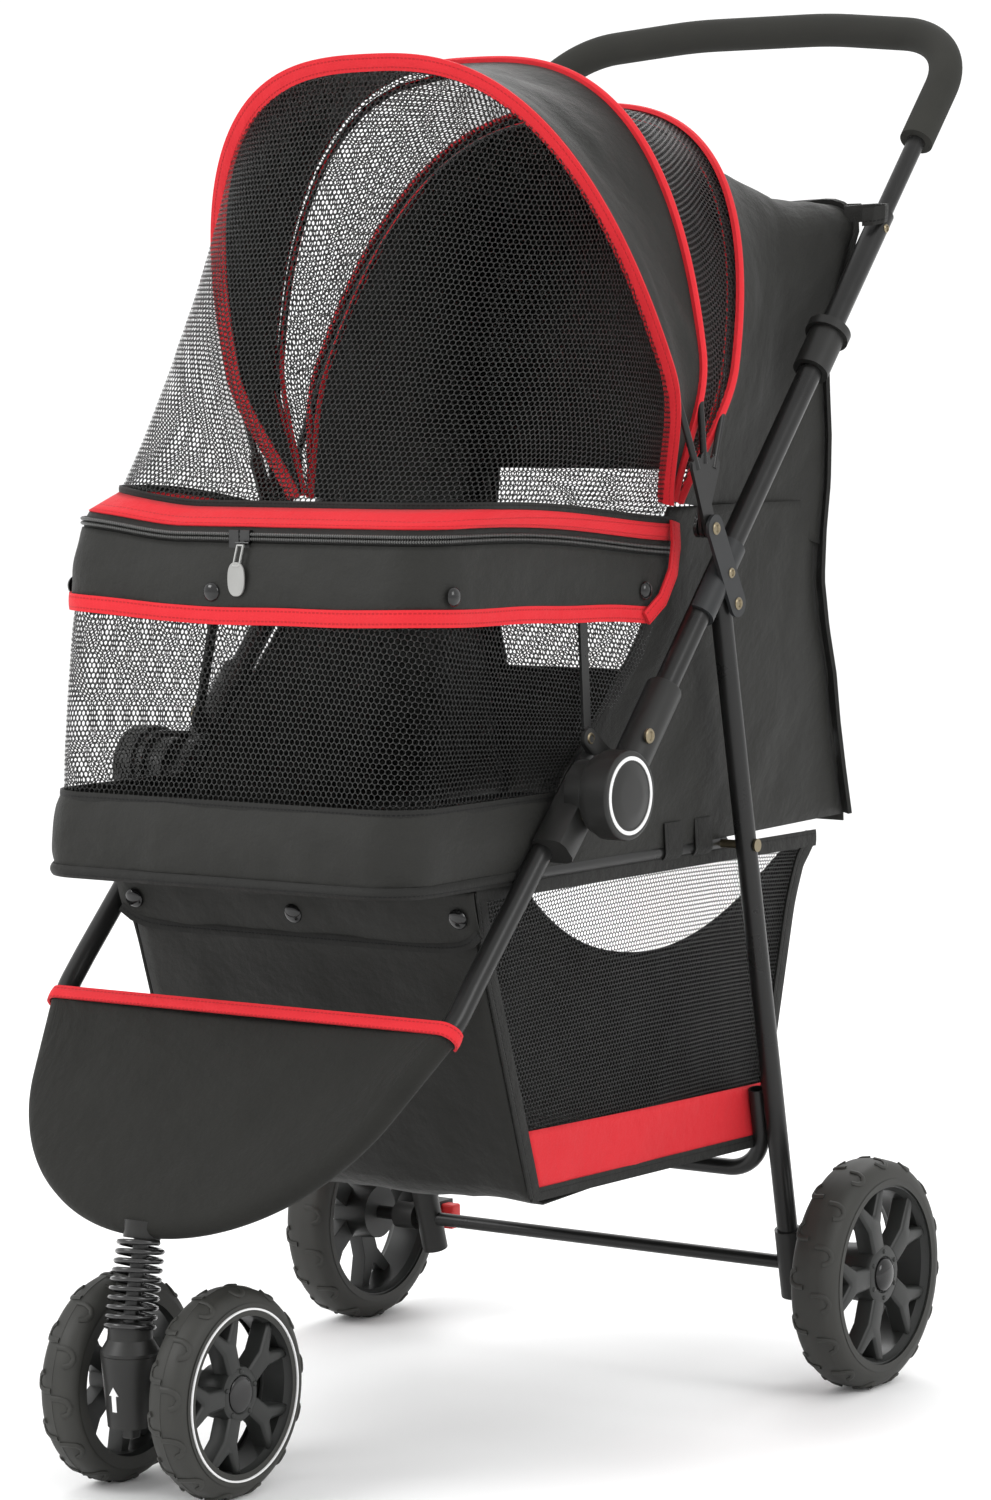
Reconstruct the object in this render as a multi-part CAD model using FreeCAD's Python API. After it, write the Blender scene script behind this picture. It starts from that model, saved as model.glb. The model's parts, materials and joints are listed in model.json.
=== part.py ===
"""Folding pet stroller: steel tube frame, cloth cabin with canopy, basket and sprung caster."""
import FreeCAD, Part
import math
import os

from FreeCAD import Vector

# Driving dimensions in millimetres and degrees. Y and Z of the frame points are measured from the
# rear axle's place on the floor; +X is the right-hand side, +Y is the rear and +Z is up.

# Handle and side tubes
handle_y = 221.8              # centre of the handle bar, behind the rear axle
handle_z = 983.2              # centre of the handle bar, above the floor
handle_slope = 48.0           # side tubes against the horizontal
side_tube_x = 181.5
side_tube_r = 8.5
side_tube_wall = 1.5
handle_tube_r = 6.5
handle_tube_wall = 1.2
handle_drop = 16.0            # from the raised middle of the bar to its corners, along the slope
handle_flat = 60.0            # half the straight middle of the bar
handle_corner_r = 60.0
handle_bow_r = 300.0
side_tube_top = 196.0         # along the slope, from the bar to the top of the side tubes
handle_insert = 60.0          # length of handle tube inside each side tube
joint_rivet_below = 14.0
joint_rivet_r = 2.0
grip_r = 12.5
grip_end = 123.0              # along the slope, from the bar to the grip's ends

# Fold hubs
hub_along = 739.5             # along the slope, from the bar to the fold axis
hub_forward = 18.7            # fold axis in front of the side tube's axis
upper_sleeve_r = 10.0
upper_sleeve_len = 72.0
lower_sleeve_r = 9.3
lower_sleeve_below = 40.0
lower_sleeve_above = 34.0
hub_lug_r = 22.0
hub_ear_t = 4.0
hub_cap_r = 30.0
hub_cap_len = 17.0
hub_pin_r = 5.0
hub_gap = 0.3                 # between the turning lugs

# Hinge brackets, rear leg pivot and bow pivot
leg_pivot_along = 543.0
leg_pivot_behind = 21.0
leg_top = 5.0                 # leg tube above its pivot
bow_pivot_along = 523.4
bow_pivot_forward = 35.6
bracket_t = 2.5
bracket_channel = 62.0        # length of the channel that wraps the side tube
bracket_gap = 0.3
pivot_pin_r = 3.0
rivet_head_r = 4.6
rivet_head_t = 1.6
pin_clearance = 0.05

# Latch collars
latch_along = 308.0           # along the slope, from the bar to the collar's top
latch_len = 40.0
latch_r = 13.0
latch_lip_r = 16.0
latch_lip = 7.0
latch_clearance = 0.3

# Front tube and caster socket
front_tube_x = 162.0
front_tube_r = 7.5
front_tube_wall = 1.3
front_slope = 45.5            # upper run of the front tube against the horizontal
front_run = 165.0             # from the fold axis to the bend
front_bend_r = 60.0
loop_slope = 47.0             # rounded loop against the horizontal
loop_len = 205.0
loop_knee_run = 30.0          # along the loop, where its sides start to close in
loop_knee_r = 60.0
loop_foot_x = 109.5           # where the closing sides would meet the loop's end
loop_corner_r = 145.0
socket_r = 12.5
socket_above = 14.0           # along the stem, from the loop tube's axis to the socket's top
socket_below = 10.0
socket_collar = 2.5           # thickness of the spring's seat at the socket's mouth
stem_tilt = 13.3              # stem, socket and spring against the vertical
stem_r = 5.0

# Front panel
panel_t = 1.6
panel_gap = 0.4
panel_top = 40.0              # along the loop, from the bend to the panel's top edge
panel_below = 9.0             # past the loop tube's axis, at the end and at the sides
panel_binding = 9.0
panel_binding_t = 2.6

# Suspension spring and caster
spring_r = 15.8
spring_wire_r = 1.6
spring_turns = 8
spring_end_gap = 0.4
spring_travel = 8.0
cap_r = 19.3
cap_bottom_z = 97.0
cap_neck_z = 107.0
cap_top_z = 118.0
cap_neck_r = 14.5
swivel_gap = 0.3
housing_top_r = 19.3
housing_bottom_r = 15.0
housing_bottom_z = 50.0
stem_end_z = 109.0
stem_clearance = 0.05
swivel_post_r = 6.0
swivel_post_end_z = 62.0
caster_trail = 42.7
lock_size = 9.0
lock_len = 8.0

# Wheels
rear_wheel_r = 82.0
rear_wheel_x = 222.4
rear_tyre_w = 36.5
rear_rim_r = 64.8
front_wheel_r = 69.1
front_wheel_x = 44.6
front_tyre_w = 30.0
front_rim_r = 55.2
front_wheel_y = -514.3
tyre_shoulder = 11.0
rim_wall = 5.0
rim_lip = 2.0
spoke_count = 5
spoke_w = 15.0
spoke_t = 11.0
rear_hub_r = 22.0
front_hub_r = 19.0
rear_axle_r = 5.0
front_axle_r = 4.0
axle_reach = 4.0              # axle end inside the wheel's outer face

# Rear legs, cross bar and axle brackets
leg_x = 178.0                 # legs at their pivots
axle_bracket_x = 160.5        # and at the axle
leg_r = 7.5
leg_wall = 1.3
bar_r = 6.0
bar_wall = 1.2
bar_z = 151.0
bar_end_rise = 62.0
bar_corner_r = 32.0
axle_bracket_r = 9.6
axle_bracket_above = 27.0     # along the leg, from the axle to the bracket's top
axle_bracket_below = 25.0

# Brake pedals
pedal_w = 18.0
pedal_len = 42.0
pedal_t = 5.0
pedal_hub_r = 10.0
pedal_gap = 1.0

# Side rails and floor board
rail_pivot_along = 73.5       # along the front tube, from the fold axis to the rails' front pins
rail_r = 5.0
rail_wall = 1.2
rail_gap = 0.5
board_t = 4.0
board_half = 146.0
board_front = -420.0
board_rear = 62.0
board_gap = 0.3

# Cabin
wall_t = 1.5
cabin_half = 150.0
cabin_corner_r = 32.0
cabin_front_bottom_y = -465.0
cabin_front_top_y = -432.0
cabin_front_bottom_z = 400.0
zip_z = 610.0                 # bottom of the zipper track
zip_h = 8.0
cabin_split_y = -190.0        # where the front wall meets the side panels
side_bottom_z = 412.0
rear_bottom_y = 75.0
rear_bottom_z = 417.0
rear_top_y = 88.0
rear_top_z = 845.0
side_top_z = 796.0            # top rear corner of the side panels
side_shoulder_y = 30.0
side_shoulder_z = 776.0
side_waist_y = -110.0
side_waist_z = 690.0
side_front_z = 612.0
rear_panel_corner_r = 28.0
soft_gap = 0.3
flap_h = 38.0
flap_t = 1.5

# Front rail and stays
front_rail_r = 3.0
front_rail_half = 148.0
front_rail_y = -408.0
front_rail_rise = 14.0        # at the front, above the bow pivots
front_rail_corner_r = 40.0
rail_end_w = 5.0
stay_w = 10.0
stay_t = 2.0
stay_top_y = -275.0
stay_top_z = 625.0
ear_y = -262.0
ear_z = 497.0
ear_r = 9.0

# Zipper sliders and pull
slider_w = 8.0
slider_t = 4.0
slider_h = 12.0
slider_clear = 0.3             # above the flap's top edge
slider_spacing = 9.0
pull_w = 11.0
pull_t = 1.6
pull_len = 26.0
pull_pin_r = 0.8
pull_eye_r = 1.7
pull_eye_w = 2.6

# Canopy: lean of each bow in front of the vertical, radius to its crown, and half width
bow_leans = (23.0, 1.6, -22.6)
bow_heights = (343.0, 318.6, 317.0)
bow_halves = (187.9, 183.6, 179.3)
bow_power = 2.7
bow_r = 2.5
bow_steps = 8
bow_arm_len = 46.0
bow_arm_w = 13.0
bow_arm_t = 2.6
bow_insert = 2.0              # hoop wire inside the end of its arm
bow_gap = 4.2                 # from a bow's axis to the inside of its cover
cover_clear = 3.5             # rear cover outside the side panels
cover_low_z = 560.0           # the rear cover's sides end here
cover_corner_r = 26.0
cover_rise = 1.0               # covers above the edges that they meet
cover_split = 0.2             # half the gap between neighbouring covers, along Y

# Basket
basket_t = 1.5
basket_inset = 3.2            # outer faces inside the rails' axes
basket_top_gap = 0.3
basket_front_top_y = -385.0
basket_front_bottom_y = -311.0
basket_rear_top_y = 55.0
basket_rear_bottom_y = -18.0
basket_floor_z = 178.0

# Derived frame points
rear_axle_y = -(front_wheel_y - front_wheel_r + handle_y + grip_r) / 2.0
slope = math.radians(handle_slope)
slope_dir = Vector(0, -math.cos(slope), -math.sin(slope))
behind_dir = Vector(0, math.sin(slope), -math.cos(slope))
nodes = {}


def at(x, y, z):
    """Point from frame coordinates, moved so that the origin is under the middle of the stroller."""
    return Vector(x, y + rear_axle_y, z)


def on_slope(x, along, behind=0.0):
    """Point beside the side tube's axis: distance down the slope and distance behind the axis."""
    return at(x, handle_y, handle_z) + slope_dir * along + behind_dir * behind


hub = on_slope(0, hub_along, -hub_forward)
leg_pivot = on_slope(0, leg_pivot_along, leg_pivot_behind)
bow_pivot = on_slope(0, bow_pivot_along, -bow_pivot_forward)
axle = at(0, 0, rear_wheel_r)
front_dir = Vector(0, -math.cos(math.radians(front_slope)), -math.sin(math.radians(front_slope)))
loop_dir = Vector(0, -math.cos(math.radians(loop_slope)), -math.sin(math.radians(loop_slope)))
loop_up = Vector(0, -math.sin(math.radians(loop_slope)), math.cos(math.radians(loop_slope)))
front_bend = hub + front_dir * front_run
loop_end = front_bend + loop_dir * loop_len
rail_front = hub + front_dir * rail_pivot_along
leg_dir = (axle - leg_pivot).normalize()
rail_rear = leg_pivot + leg_dir * ((leg_pivot.z - rail_front.z) / -leg_dir.z)
rail_x = front_tube_x - lower_sleeve_r - rail_gap - rail_r
board_z = rail_front.z + rail_r + board_gap
caster_y = front_wheel_y - caster_trail
stem_dir = Vector(0, -math.sin(math.radians(stem_tilt)), -math.cos(math.radians(stem_tilt)))
front_rail_z = bow_pivot.z + front_rail_rise


def moved_x(point, x):
    return Vector(x, point.y, point.z)


def mirrored(shape):
    return shape.mirror(Vector(0, 0, 0), Vector(1, 0, 0))


def both_sides(shape):
    return [shape, mirrored(shape)]


def save(name, *shapes):
    solids = [solid for shape in shapes for solid in shape.Solids]
    nodes[name] = Part.makeCompound(solids) if len(solids) > 1 else solids[0]


def rod(start, end, radius):
    line = end - start
    return Part.makeCylinder(radius, line.Length, start, line)


def cone(start, end, start_r, end_r):
    line = end - start
    return Part.makeCone(start_r, end_r, line.Length, start, line)


def pipe(start, end, radius, wall):
    return rod(start, end, radius).cut(rod(start, end, radius - wall))


def path(points, radii):
    """Wire of straight runs joined by tangent arcs of the given radii."""
    edges = []
    last = points[0]
    for before, corner, after, radius in zip(points, points[1:], points[2:], radii):
        to_before = (before - corner).normalize()
        to_after = (after - corner).normalize()
        half = to_before.getAngle(to_after) / 2.0
        reach = radius / math.tan(half)
        start = corner + to_before * reach
        end = corner + to_after * reach
        middle = (to_before + to_after).normalize()
        top = corner + middle * (radius / math.sin(half) - radius)
        edges.append(Part.LineSegment(last, start).toShape())
        edges.append(Part.Arc(start, top, end).toShape())
        last = end
    edges.append(Part.LineSegment(last, points[-1]).toShape())
    return Part.Wire(edges)


def sweep(wire, radius):
    start = wire.Vertexes[0].Point
    first = wire.Edges[0]
    profile = Part.Wire(Part.Circle(start, first.tangentAt(first.FirstParameter), radius).toShape())
    return wire.makePipeShell([profile], True, True)


def bent_pipe(wire, radius, wall):
    return sweep(wire, radius).cut(sweep(wire, radius - wall))


def plate(points, x0, x1):
    """Flat plate with a polygon outline given as points in a plane of constant X."""
    ring = [moved_x(p, x0) for p in points]
    face = Part.Face(Part.makePolygon(ring + ring[:1]))
    return face.extrude(Vector(x1 - x0, 0, 0))


def rounded_plate(centres, radius, x0, x1):
    """Plate with round corners: discs at the corners, joined by the polygon between them."""
    discs = [rod(moved_x(c, x0), moved_x(c, x1), radius) for c in centres]
    shape = discs[0].multiFuse(discs[1:] + links(centres, radius, x0, x1))
    return shape.removeSplitter()


def links(centres, radius, x0, x1):
    pieces = []
    count = len(centres)
    for i, start in enumerate(centres[: count if count > 2 else 1]):
        end = centres[(i + 1) % count]
        across = (end - start).normalize().cross(Vector(1, 0, 0)) * radius
        pieces.append(plate([start + across, end + across, end - across, start - across], x0, x1))
    if count > 2:
        pieces.append(plate(centres, x0, x1))
    return pieces


def thin_solid(outer_a, inner_a, outer_b, inner_b):
    """Sheet between two curves: each curve is given as its outer and its inner points."""
    return Part.makeLoft([closed_profile(outer_a, inner_a), closed_profile(outer_b, inner_b)], True, True)


def closed_profile(outer, inner):
    edges = [curve(outer), Part.LineSegment(outer[-1], inner[-1]).toShape()]
    edges += [curve(inner[::-1]), Part.LineSegment(inner[0], outer[0]).toShape()]
    return Part.Wire(edges)


def curve(points):
    spline = Part.BSplineCurve()
    spline.interpolate(points)
    return spline.toShape()


def u_wire(half, y_front, y_rear, corner_r, z, inset=0.0):
    """Closed U outline of a wall that wraps the cabin's front, seen from above."""
    def side(sign, shift):
        return [
            at(sign * (half - shift), y_rear, z),
            at(sign * (half - shift), y_front + corner_r, z),
        ]

    def corner(sign, shift):
        centre = at(sign * (half - corner_r), y_front + corner_r, z)
        radius = corner_r - shift
        diagonal = radius / math.sqrt(2)
        middle = centre + Vector(sign * diagonal, -diagonal, 0)
        return middle, centre + Vector(0, -radius, 0)

    edges = []
    for shift in (inset, inset + wall_t):
        rear_r, front_r = side(1, shift)
        rear_l, front_l = side(-1, shift)
        mid_r, low_r = corner(1, shift)
        mid_l, low_l = corner(-1, shift)
        edges += [
            Part.LineSegment(rear_r, front_r).toShape(),
            Part.Arc(front_r, mid_r, low_r).toShape(),
            Part.LineSegment(low_r, low_l).toShape(),
            Part.Arc(low_l, mid_l, front_l).toShape(),
            Part.LineSegment(front_l, rear_l).toShape(),
        ]
    for sign in (1, -1):
        edges.append(Part.LineSegment(side(sign, inset)[0], side(sign, inset + wall_t)[0]).toShape())
    return Part.Wire(Part.__sortEdges__(edges))


def u_wall(low, high, inset=0.0):
    """Wall between two heights of the cabin front, following its lean."""
    wires = []
    for z in (low, high):
        share = (z - cabin_front_bottom_z) / (zip_z - cabin_front_bottom_z)
        y_front = cabin_front_bottom_y + share * (cabin_front_top_y - cabin_front_bottom_y)
        wires.append(u_wire(cabin_half, y_front, cabin_split_y - soft_gap, cabin_corner_r, z, inset))
    return Part.makeLoft(wires, True, True)


def bow_point(index, turn, extra=0.0):
    """Point on a bow's arch; turn runs from 0 at the right foot to 180 at the left foot."""
    across = math.cos(math.radians(turn))
    up = math.sin(math.radians(turn))
    power = 2.0 / bow_power
    x = math.copysign(abs(across) ** power, across) * (bow_halves[index] + extra)
    reach = abs(up) ** power * (bow_heights[index] + extra)
    lean = math.radians(bow_leans[index])
    return bow_pivot + Vector(x, -math.sin(lean) * reach, math.cos(lean) * reach)


def bow_turns(steps):
    """Turns that start and end where the covers do, beyond the bow arms."""
    start = 12.0
    return [start + (180.0 - 2 * start) * i / steps for i in range(steps + 1)]


def bow_lean_dir(index):
    lean = math.radians(bow_leans[index])
    return Vector(0, -math.sin(lean), math.cos(lean))


def make_handle():
    wire = path(handle_points(side_tube_top + handle_insert), handle_radii())
    tube = bent_pipe(wire, handle_tube_r, handle_tube_wall)
    save("handle_tube", tube.cut(joint_rivet()).cut(mirrored(joint_rivet())))
    grip_wire = path(handle_points(grip_end), handle_radii())
    save("handle_grip", bent_pipe(grip_wire, grip_r, grip_r - handle_tube_r))
    tube = pipe(on_slope(side_tube_x, side_tube_top), on_slope(side_tube_x, side_tube_end()),
                side_tube_r, side_tube_wall)
    save("side_tubes", *both_sides(tube.cut(joint_rivet()).cut(bracket_rivet())))


def handle_points(end):
    right = [
        on_slope(side_tube_x, end),
        on_slope(side_tube_x, handle_drop),
        on_slope(handle_flat, 0),
    ]
    return right + [Vector(-p.x, p.y, p.z) for p in reversed(right)]


def handle_radii():
    return [handle_corner_r, handle_bow_r, handle_bow_r, handle_corner_r]


def joint_rivet():
    """Rivet that joins the handle tube to a side tube."""
    place = on_slope(side_tube_x, side_tube_top + joint_rivet_below)
    return rod(moved_x(place, side_tube_x - side_tube_r - 1), moved_x(place, side_tube_x + side_tube_r + 1),
               joint_rivet_r)


def bracket_rivet():
    """Rivet that holds a hinge bracket on its side tube."""
    place = on_slope(0, (leg_pivot_along + bow_pivot_along) / 2.0)
    return rod(moved_x(place, side_tube_x), moved_x(place, bracket_outer() + 1), joint_rivet_r)


def side_tube_end():
    return hub_along - hub_lug_r / 2.0


def make_upper_hub():
    start = on_slope(side_tube_x, side_tube_end())
    sleeve = rod(start - slope_dir * upper_sleeve_len, start + slope_dir * 2.0, upper_sleeve_r)
    inner = side_tube_x - upper_sleeve_r
    outer = side_tube_x + upper_sleeve_r
    lug = rod(moved_x(hub, inner), moved_x(hub, outer), hub_lug_r)
    ear_point = at(0, ear_y, ear_z)
    ear = rounded_plate([ear_point, hub], ear_r, inner, inner + hub_ear_t)
    bore = rod(start - slope_dir * upper_sleeve_len, start, side_tube_r)
    pin_hole = rod(moved_x(hub, inner - 1), moved_x(hub, outer + 1), hub_pin_r)
    stay_hole = rod(moved_x(ear_point, inner - 1), moved_x(ear_point, inner + hub_ear_t + 1), pivot_pin_r)
    body = sleeve.fuse(lug).fuse(ear).cut(bore).cut(pin_hole).cut(stay_hole)
    save("hub_upper_sleeves", *both_sides(body.removeSplitter()))
    cap = rod(moved_x(hub, outer), moved_x(hub, outer + hub_cap_len), hub_cap_r)
    cap = cap.makeFillet(2.0, [outer_edge(cap, outer + hub_cap_len)])
    cap = cap.cut(rod(moved_x(hub, outer), moved_x(hub, outer + rivet_head_t), hub_pin_r))
    save("hub_caps", *both_sides(cap))


def outer_edge(shape, x):
    return next(e for e in shape.Edges if abs(e.CenterOfMass.x - x) < 1e-6 and e.Length > 1)


def make_brackets():
    inner = side_tube_x + side_tube_r + bracket_gap
    outer = inner + bracket_t
    middle = on_slope(0, (leg_pivot_along + bow_pivot_along) / 2.0 + 4.0, 4.0)
    flat = rounded_plate([bow_pivot, middle, leg_pivot], 9.5, inner, outer)
    top = on_slope(side_tube_x, bow_pivot_along - 14.0)
    end = top + slope_dir * bracket_channel
    channel_r = side_tube_r + bracket_gap
    channel = rod(top, end, channel_r + bracket_t).cut(rod(top, end, channel_r))
    keep = Part.makeBox(60, 400, 400, Vector(side_tube_x, top.y - 200, top.z - 200))
    body = flat.fuse(channel.common(keep))
    for centre in (bow_pivot, leg_pivot):
        body = body.cut(rod(moved_x(centre, inner - 9), moved_x(centre, outer + 1), pivot_pin_r))
    save("hinge_brackets", *both_sides(body.cut(bracket_rivet()).removeSplitter()))


def bracket_outer():
    return side_tube_x + side_tube_r + bracket_gap + bracket_t


def pin_with_head(centre, x0, x1, radius):
    shaft = rod(moved_x(centre, x0), moved_x(centre, x1), radius)
    head = rod(moved_x(centre, x1), moved_x(centre, x1 + rivet_head_t), radius + 1.6)
    return shaft.fuse(head)


def make_upper_pins():
    tail_x = rail_pin_inner()
    pins = [
        pin_with_head(bow_pivot, tail_x, bracket_outer(), pivot_pin_r),
        pin_with_head(leg_pivot, leg_x - leg_r, bracket_outer(), pivot_pin_r),
        pin_with_head(at(0, ear_y, ear_z), side_tube_x - upper_sleeve_r - 2 * stay_t,
                      side_tube_x - upper_sleeve_r + hub_ear_t, pivot_pin_r),
    ]
    hub_pin = rod(moved_x(hub, front_tube_x - lower_sleeve_r), moved_x(hub, side_tube_x + upper_sleeve_r),
                  hub_pin_r)
    pins += [hub_pin, joint_rivet(), bracket_rivet()]
    save("upper_pins", *[side for pin in pins for side in both_sides(pin)])


def rail_pin_inner():
    return bow_foot_x(2) - bow_arm_t / 2.0 - 1.0 - rail_end_w


def bow_foot_x(index):
    return bow_halves[index]


def make_front_rail():
    end_x = rail_pin_inner() + rail_end_w / 2.0
    y_pivot = bow_pivot.y - rear_axle_y
    right = [
        at(end_x, y_pivot, bow_pivot.z),
        at(front_rail_half, y_pivot - 60.0, bow_pivot.z + front_rail_rise * 0.25),
        at(front_rail_half, front_rail_y, front_rail_z),
    ]
    points = right + [Vector(-p.x, p.y, p.z) for p in reversed(right)]
    bend = 60.0
    wire = path(points, [bend, front_rail_corner_r, front_rail_corner_r, bend])
    rail = sweep(wire, front_rail_r)
    for sign in (1, -1):
        x0 = sign * rail_pin_inner()
        x1 = sign * (rail_pin_inner() + rail_end_w)
        rail = rail.fuse(rod(moved_x(bow_pivot, x0), moved_x(bow_pivot, x1), 7.0))
        rail = rail.cut(rod(moved_x(bow_pivot, x0 - sign), moved_x(bow_pivot, x1 + sign), pivot_pin_r))
    save("front_rail", rail.removeSplitter())


def make_stays():
    low = at(side_tube_x - upper_sleeve_r - stay_t - pin_clearance, ear_y, ear_z - ear_r)
    high = at(front_rail_half + front_rail_r, stay_top_y, stay_top_z + front_rail_r)
    ring = [low + Vector(x, y, 0) for x, y in ((0, -stay_w / 2), (stay_t, -stay_w / 2),
                                               (stay_t, stay_w / 2), (0, stay_w / 2))]
    bar = Part.Face(Part.makePolygon(ring + ring[:1])).extrude(high - low)
    ear_point = at(0, ear_y, ear_z)
    hole = rod(moved_x(ear_point, low.x - 6), moved_x(ear_point, low.x + 6), pivot_pin_r)
    save("rail_stays", *both_sides(bar.cut(hole)))


def make_latches():
    top = on_slope(side_tube_x, latch_along)
    end = top + slope_dir * latch_len
    bore = rod(top, end, side_tube_r + latch_clearance)
    body = rod(top, end, latch_r).fuse(rod(top, top + slope_dir * latch_lip, latch_lip_r)).cut(bore)
    save("latch_right", body)
    save("latch_left", mirrored(body))


def make_front_tube():
    knee = front_bend + loop_dir * loop_knee_run
    top = hub - front_dir * (lower_sleeve_above - 4)
    right = [moved_x(p, front_tube_x) for p in (top, front_bend, knee)]
    right.append(moved_x(loop_end, loop_foot_x))
    points = right + [Vector(-p.x, p.y, p.z) for p in reversed(right)]
    radii = [front_bend_r, loop_knee_r, loop_corner_r]
    wire = path(points, radii + radii[::-1])
    tube = bent_pipe(wire, front_tube_r, front_tube_wall)
    for x in (-front_tube_x, front_tube_x):
        tube = tube.cut(rod(moved_x(hub, x - 12), moved_x(hub, x + 12), hub_pin_r + pin_clearance))
    save("front_tube", tube)
    return wire


def make_lower_hub():
    centre = moved_x(hub, front_tube_x)
    sleeve = rod(centre - front_dir * lower_sleeve_above, centre + front_dir * lower_sleeve_below,
                 lower_sleeve_r)
    inner = front_tube_x - lower_sleeve_r
    outer = side_tube_x - upper_sleeve_r - hub_gap
    lug = rod(moved_x(hub, inner), moved_x(hub, outer), hub_lug_r)
    bore = rod(centre - front_dir * (lower_sleeve_above - 4), centre + front_dir * lower_sleeve_below,
               front_tube_r)
    hole = rod(moved_x(hub, inner - 1), moved_x(hub, outer + 1), hub_pin_r + pin_clearance)
    save("hub_lower_sleeves", *both_sides(sleeve.fuse(lug).cut(bore).cut(hole).removeSplitter()))


def on_stem(z):
    """Point on the stem's axis at a height above the floor."""
    return loop_end + stem_dir * ((loop_end.z - z) / -stem_dir.z)


def make_socket_and_stem(loop_wire):
    top = loop_end - stem_dir * socket_above
    bottom = loop_end + stem_dir * socket_below
    stem = rod(loop_end + stem_dir * (front_tube_r + 0.5), on_stem(stem_end_z), stem_r)
    socket = rod(top, bottom, socket_r).fuse(rod(bottom - stem_dir * socket_collar, bottom, spring_r))
    save("caster_socket", socket.cut(sweep(loop_wire, front_tube_r)).cut(stem))
    save("caster_stem", stem)
    return bottom


def make_spring(top):
    """Open coil round the stem, from the socket's mouth to the cap's neck."""
    inset = spring_wire_r + spring_end_gap + spring_r * math.tan(math.radians(stem_tilt))
    start = top + stem_dir * (spring_wire_r + spring_end_gap)
    end = on_stem(cap_top_z + inset)
    lift = stem_dir.cross(Vector(1, 0, 0))
    points = []
    count = spring_turns * 16
    for i in range(count + 1):
        turn = 2 * math.pi * spring_turns * i / count
        centre = start + (end - start) * (i / count)
        points.append(centre + Vector(spring_r * math.cos(turn), 0, 0) + lift * (spring_r * math.sin(turn)))
    wire = Part.Wire(curve(points))
    save("suspension_spring", sweep(wire, spring_wire_r))


def make_front_panel():
    normal = loop_up * (front_tube_r + panel_gap)
    top = front_bend + loop_dir * panel_top + normal
    low = loop_end + loop_dir * panel_below + normal
    corner = loop_corner_r + panel_below
    notch = rod(loop_end - stem_dir * (socket_above + 5), loop_end + stem_dir * (socket_below + 5),
                socket_r + soft_gap)
    save("front_panel", panel_solid(top, low, corner, panel_t).cut(notch))
    band_top = top - loop_dir * panel_binding
    half = loop_half(panel_top, panel_below)
    right = moved_x(band_top, half)
    width = Vector(-2 * half, 0, 0)
    ring = [right, right + width, right + width + loop_dir * (panel_binding - soft_gap),
            right + loop_dir * (panel_binding - soft_gap)]
    face = Part.Face(Part.makePolygon(ring + ring[:1]))
    save("front_panel_binding", face.extrude(loop_up * panel_binding_t))


def loop_half(run, outside):
    """Half width of the closing part of the loop at a run, measured outside the tube's axis."""
    taper = (front_tube_x - loop_foot_x) / (loop_len - loop_knee_run)
    return front_tube_x - (run - loop_knee_run) * taper + outside * math.hypot(1, taper)


def panel_solid(top, low, corner, thickness):
    right = [moved_x(top, loop_half(panel_top, panel_below)),
             moved_x(low, loop_half(loop_len + panel_below, panel_below))]
    points = right + [Vector(-p.x, p.y, p.z) for p in reversed(right)]
    outline = path(points, [corner, corner])
    closing = Part.LineSegment(points[-1], points[0]).toShape()
    face = Part.Face(Part.Wire(outline.Edges + [closing]))
    return face.extrude(loop_up * thickness)


def make_caster():
    base = at(0, caster_y, cap_bottom_z)
    neck = at(0, caster_y, cap_neck_z)
    top = at(0, caster_y, cap_top_z)
    dome = cone(base + Vector(0, 0, 2), neck, cap_r, cap_neck_r)
    cap = rod(base, base + Vector(0, 0, 2), cap_r).multiFuse([dome, rod(neck, top, cap_neck_r)])
    cap = cap.fuse(rod(at(0, caster_y, swivel_post_end_z), base, swivel_post_r))
    bore_end = on_stem(stem_end_z) + stem_dir * (spring_travel + 1.0)
    cap = cap.cut(rod(on_stem(cap_top_z + 5), bore_end, stem_r + stem_clearance))
    save("stem_cap", cap.removeSplitter())
    make_swivel()


def make_swivel():
    top = at(0, caster_y, cap_bottom_z - swivel_gap)
    low = at(0, caster_y, housing_bottom_z)
    barrel = cone(top, low, housing_top_r, housing_bottom_r)
    centre = at(0, front_wheel_y, front_wheel_r)
    half = front_wheel_x - front_tyre_w / 2.0 - 1.5
    boss = rod(moved_x(centre, -half), moved_x(centre, half), 12.0)
    arm = Part.makeBox(24, caster_trail + 4, 22, at(-12, caster_y, front_wheel_r - 11))
    body = barrel.multiFuse([boss, arm])
    body = body.cut(rod(top + Vector(0, 0, 1), at(0, caster_y, swivel_post_end_z - 2),
                        swivel_post_r + stem_clearance))
    body = body.cut(rod(moved_x(centre, -half - 1), moved_x(centre, half + 1), front_axle_r))
    save("swivel_housing", body.removeSplitter())
    end = front_wheel_x + front_tyre_w / 2.0 - axle_reach
    save("front_axle", rod(moved_x(centre, -end), moved_x(centre, end), front_axle_r))
    corner = at(-lock_size / 2, caster_y - lock_size / 2, housing_bottom_z - soft_gap - lock_len)
    lock = Part.makeBox(lock_size, lock_size, lock_len, corner)
    save("swivel_lock", lock.makeFillet(1.5, lock.Edges))


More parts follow.
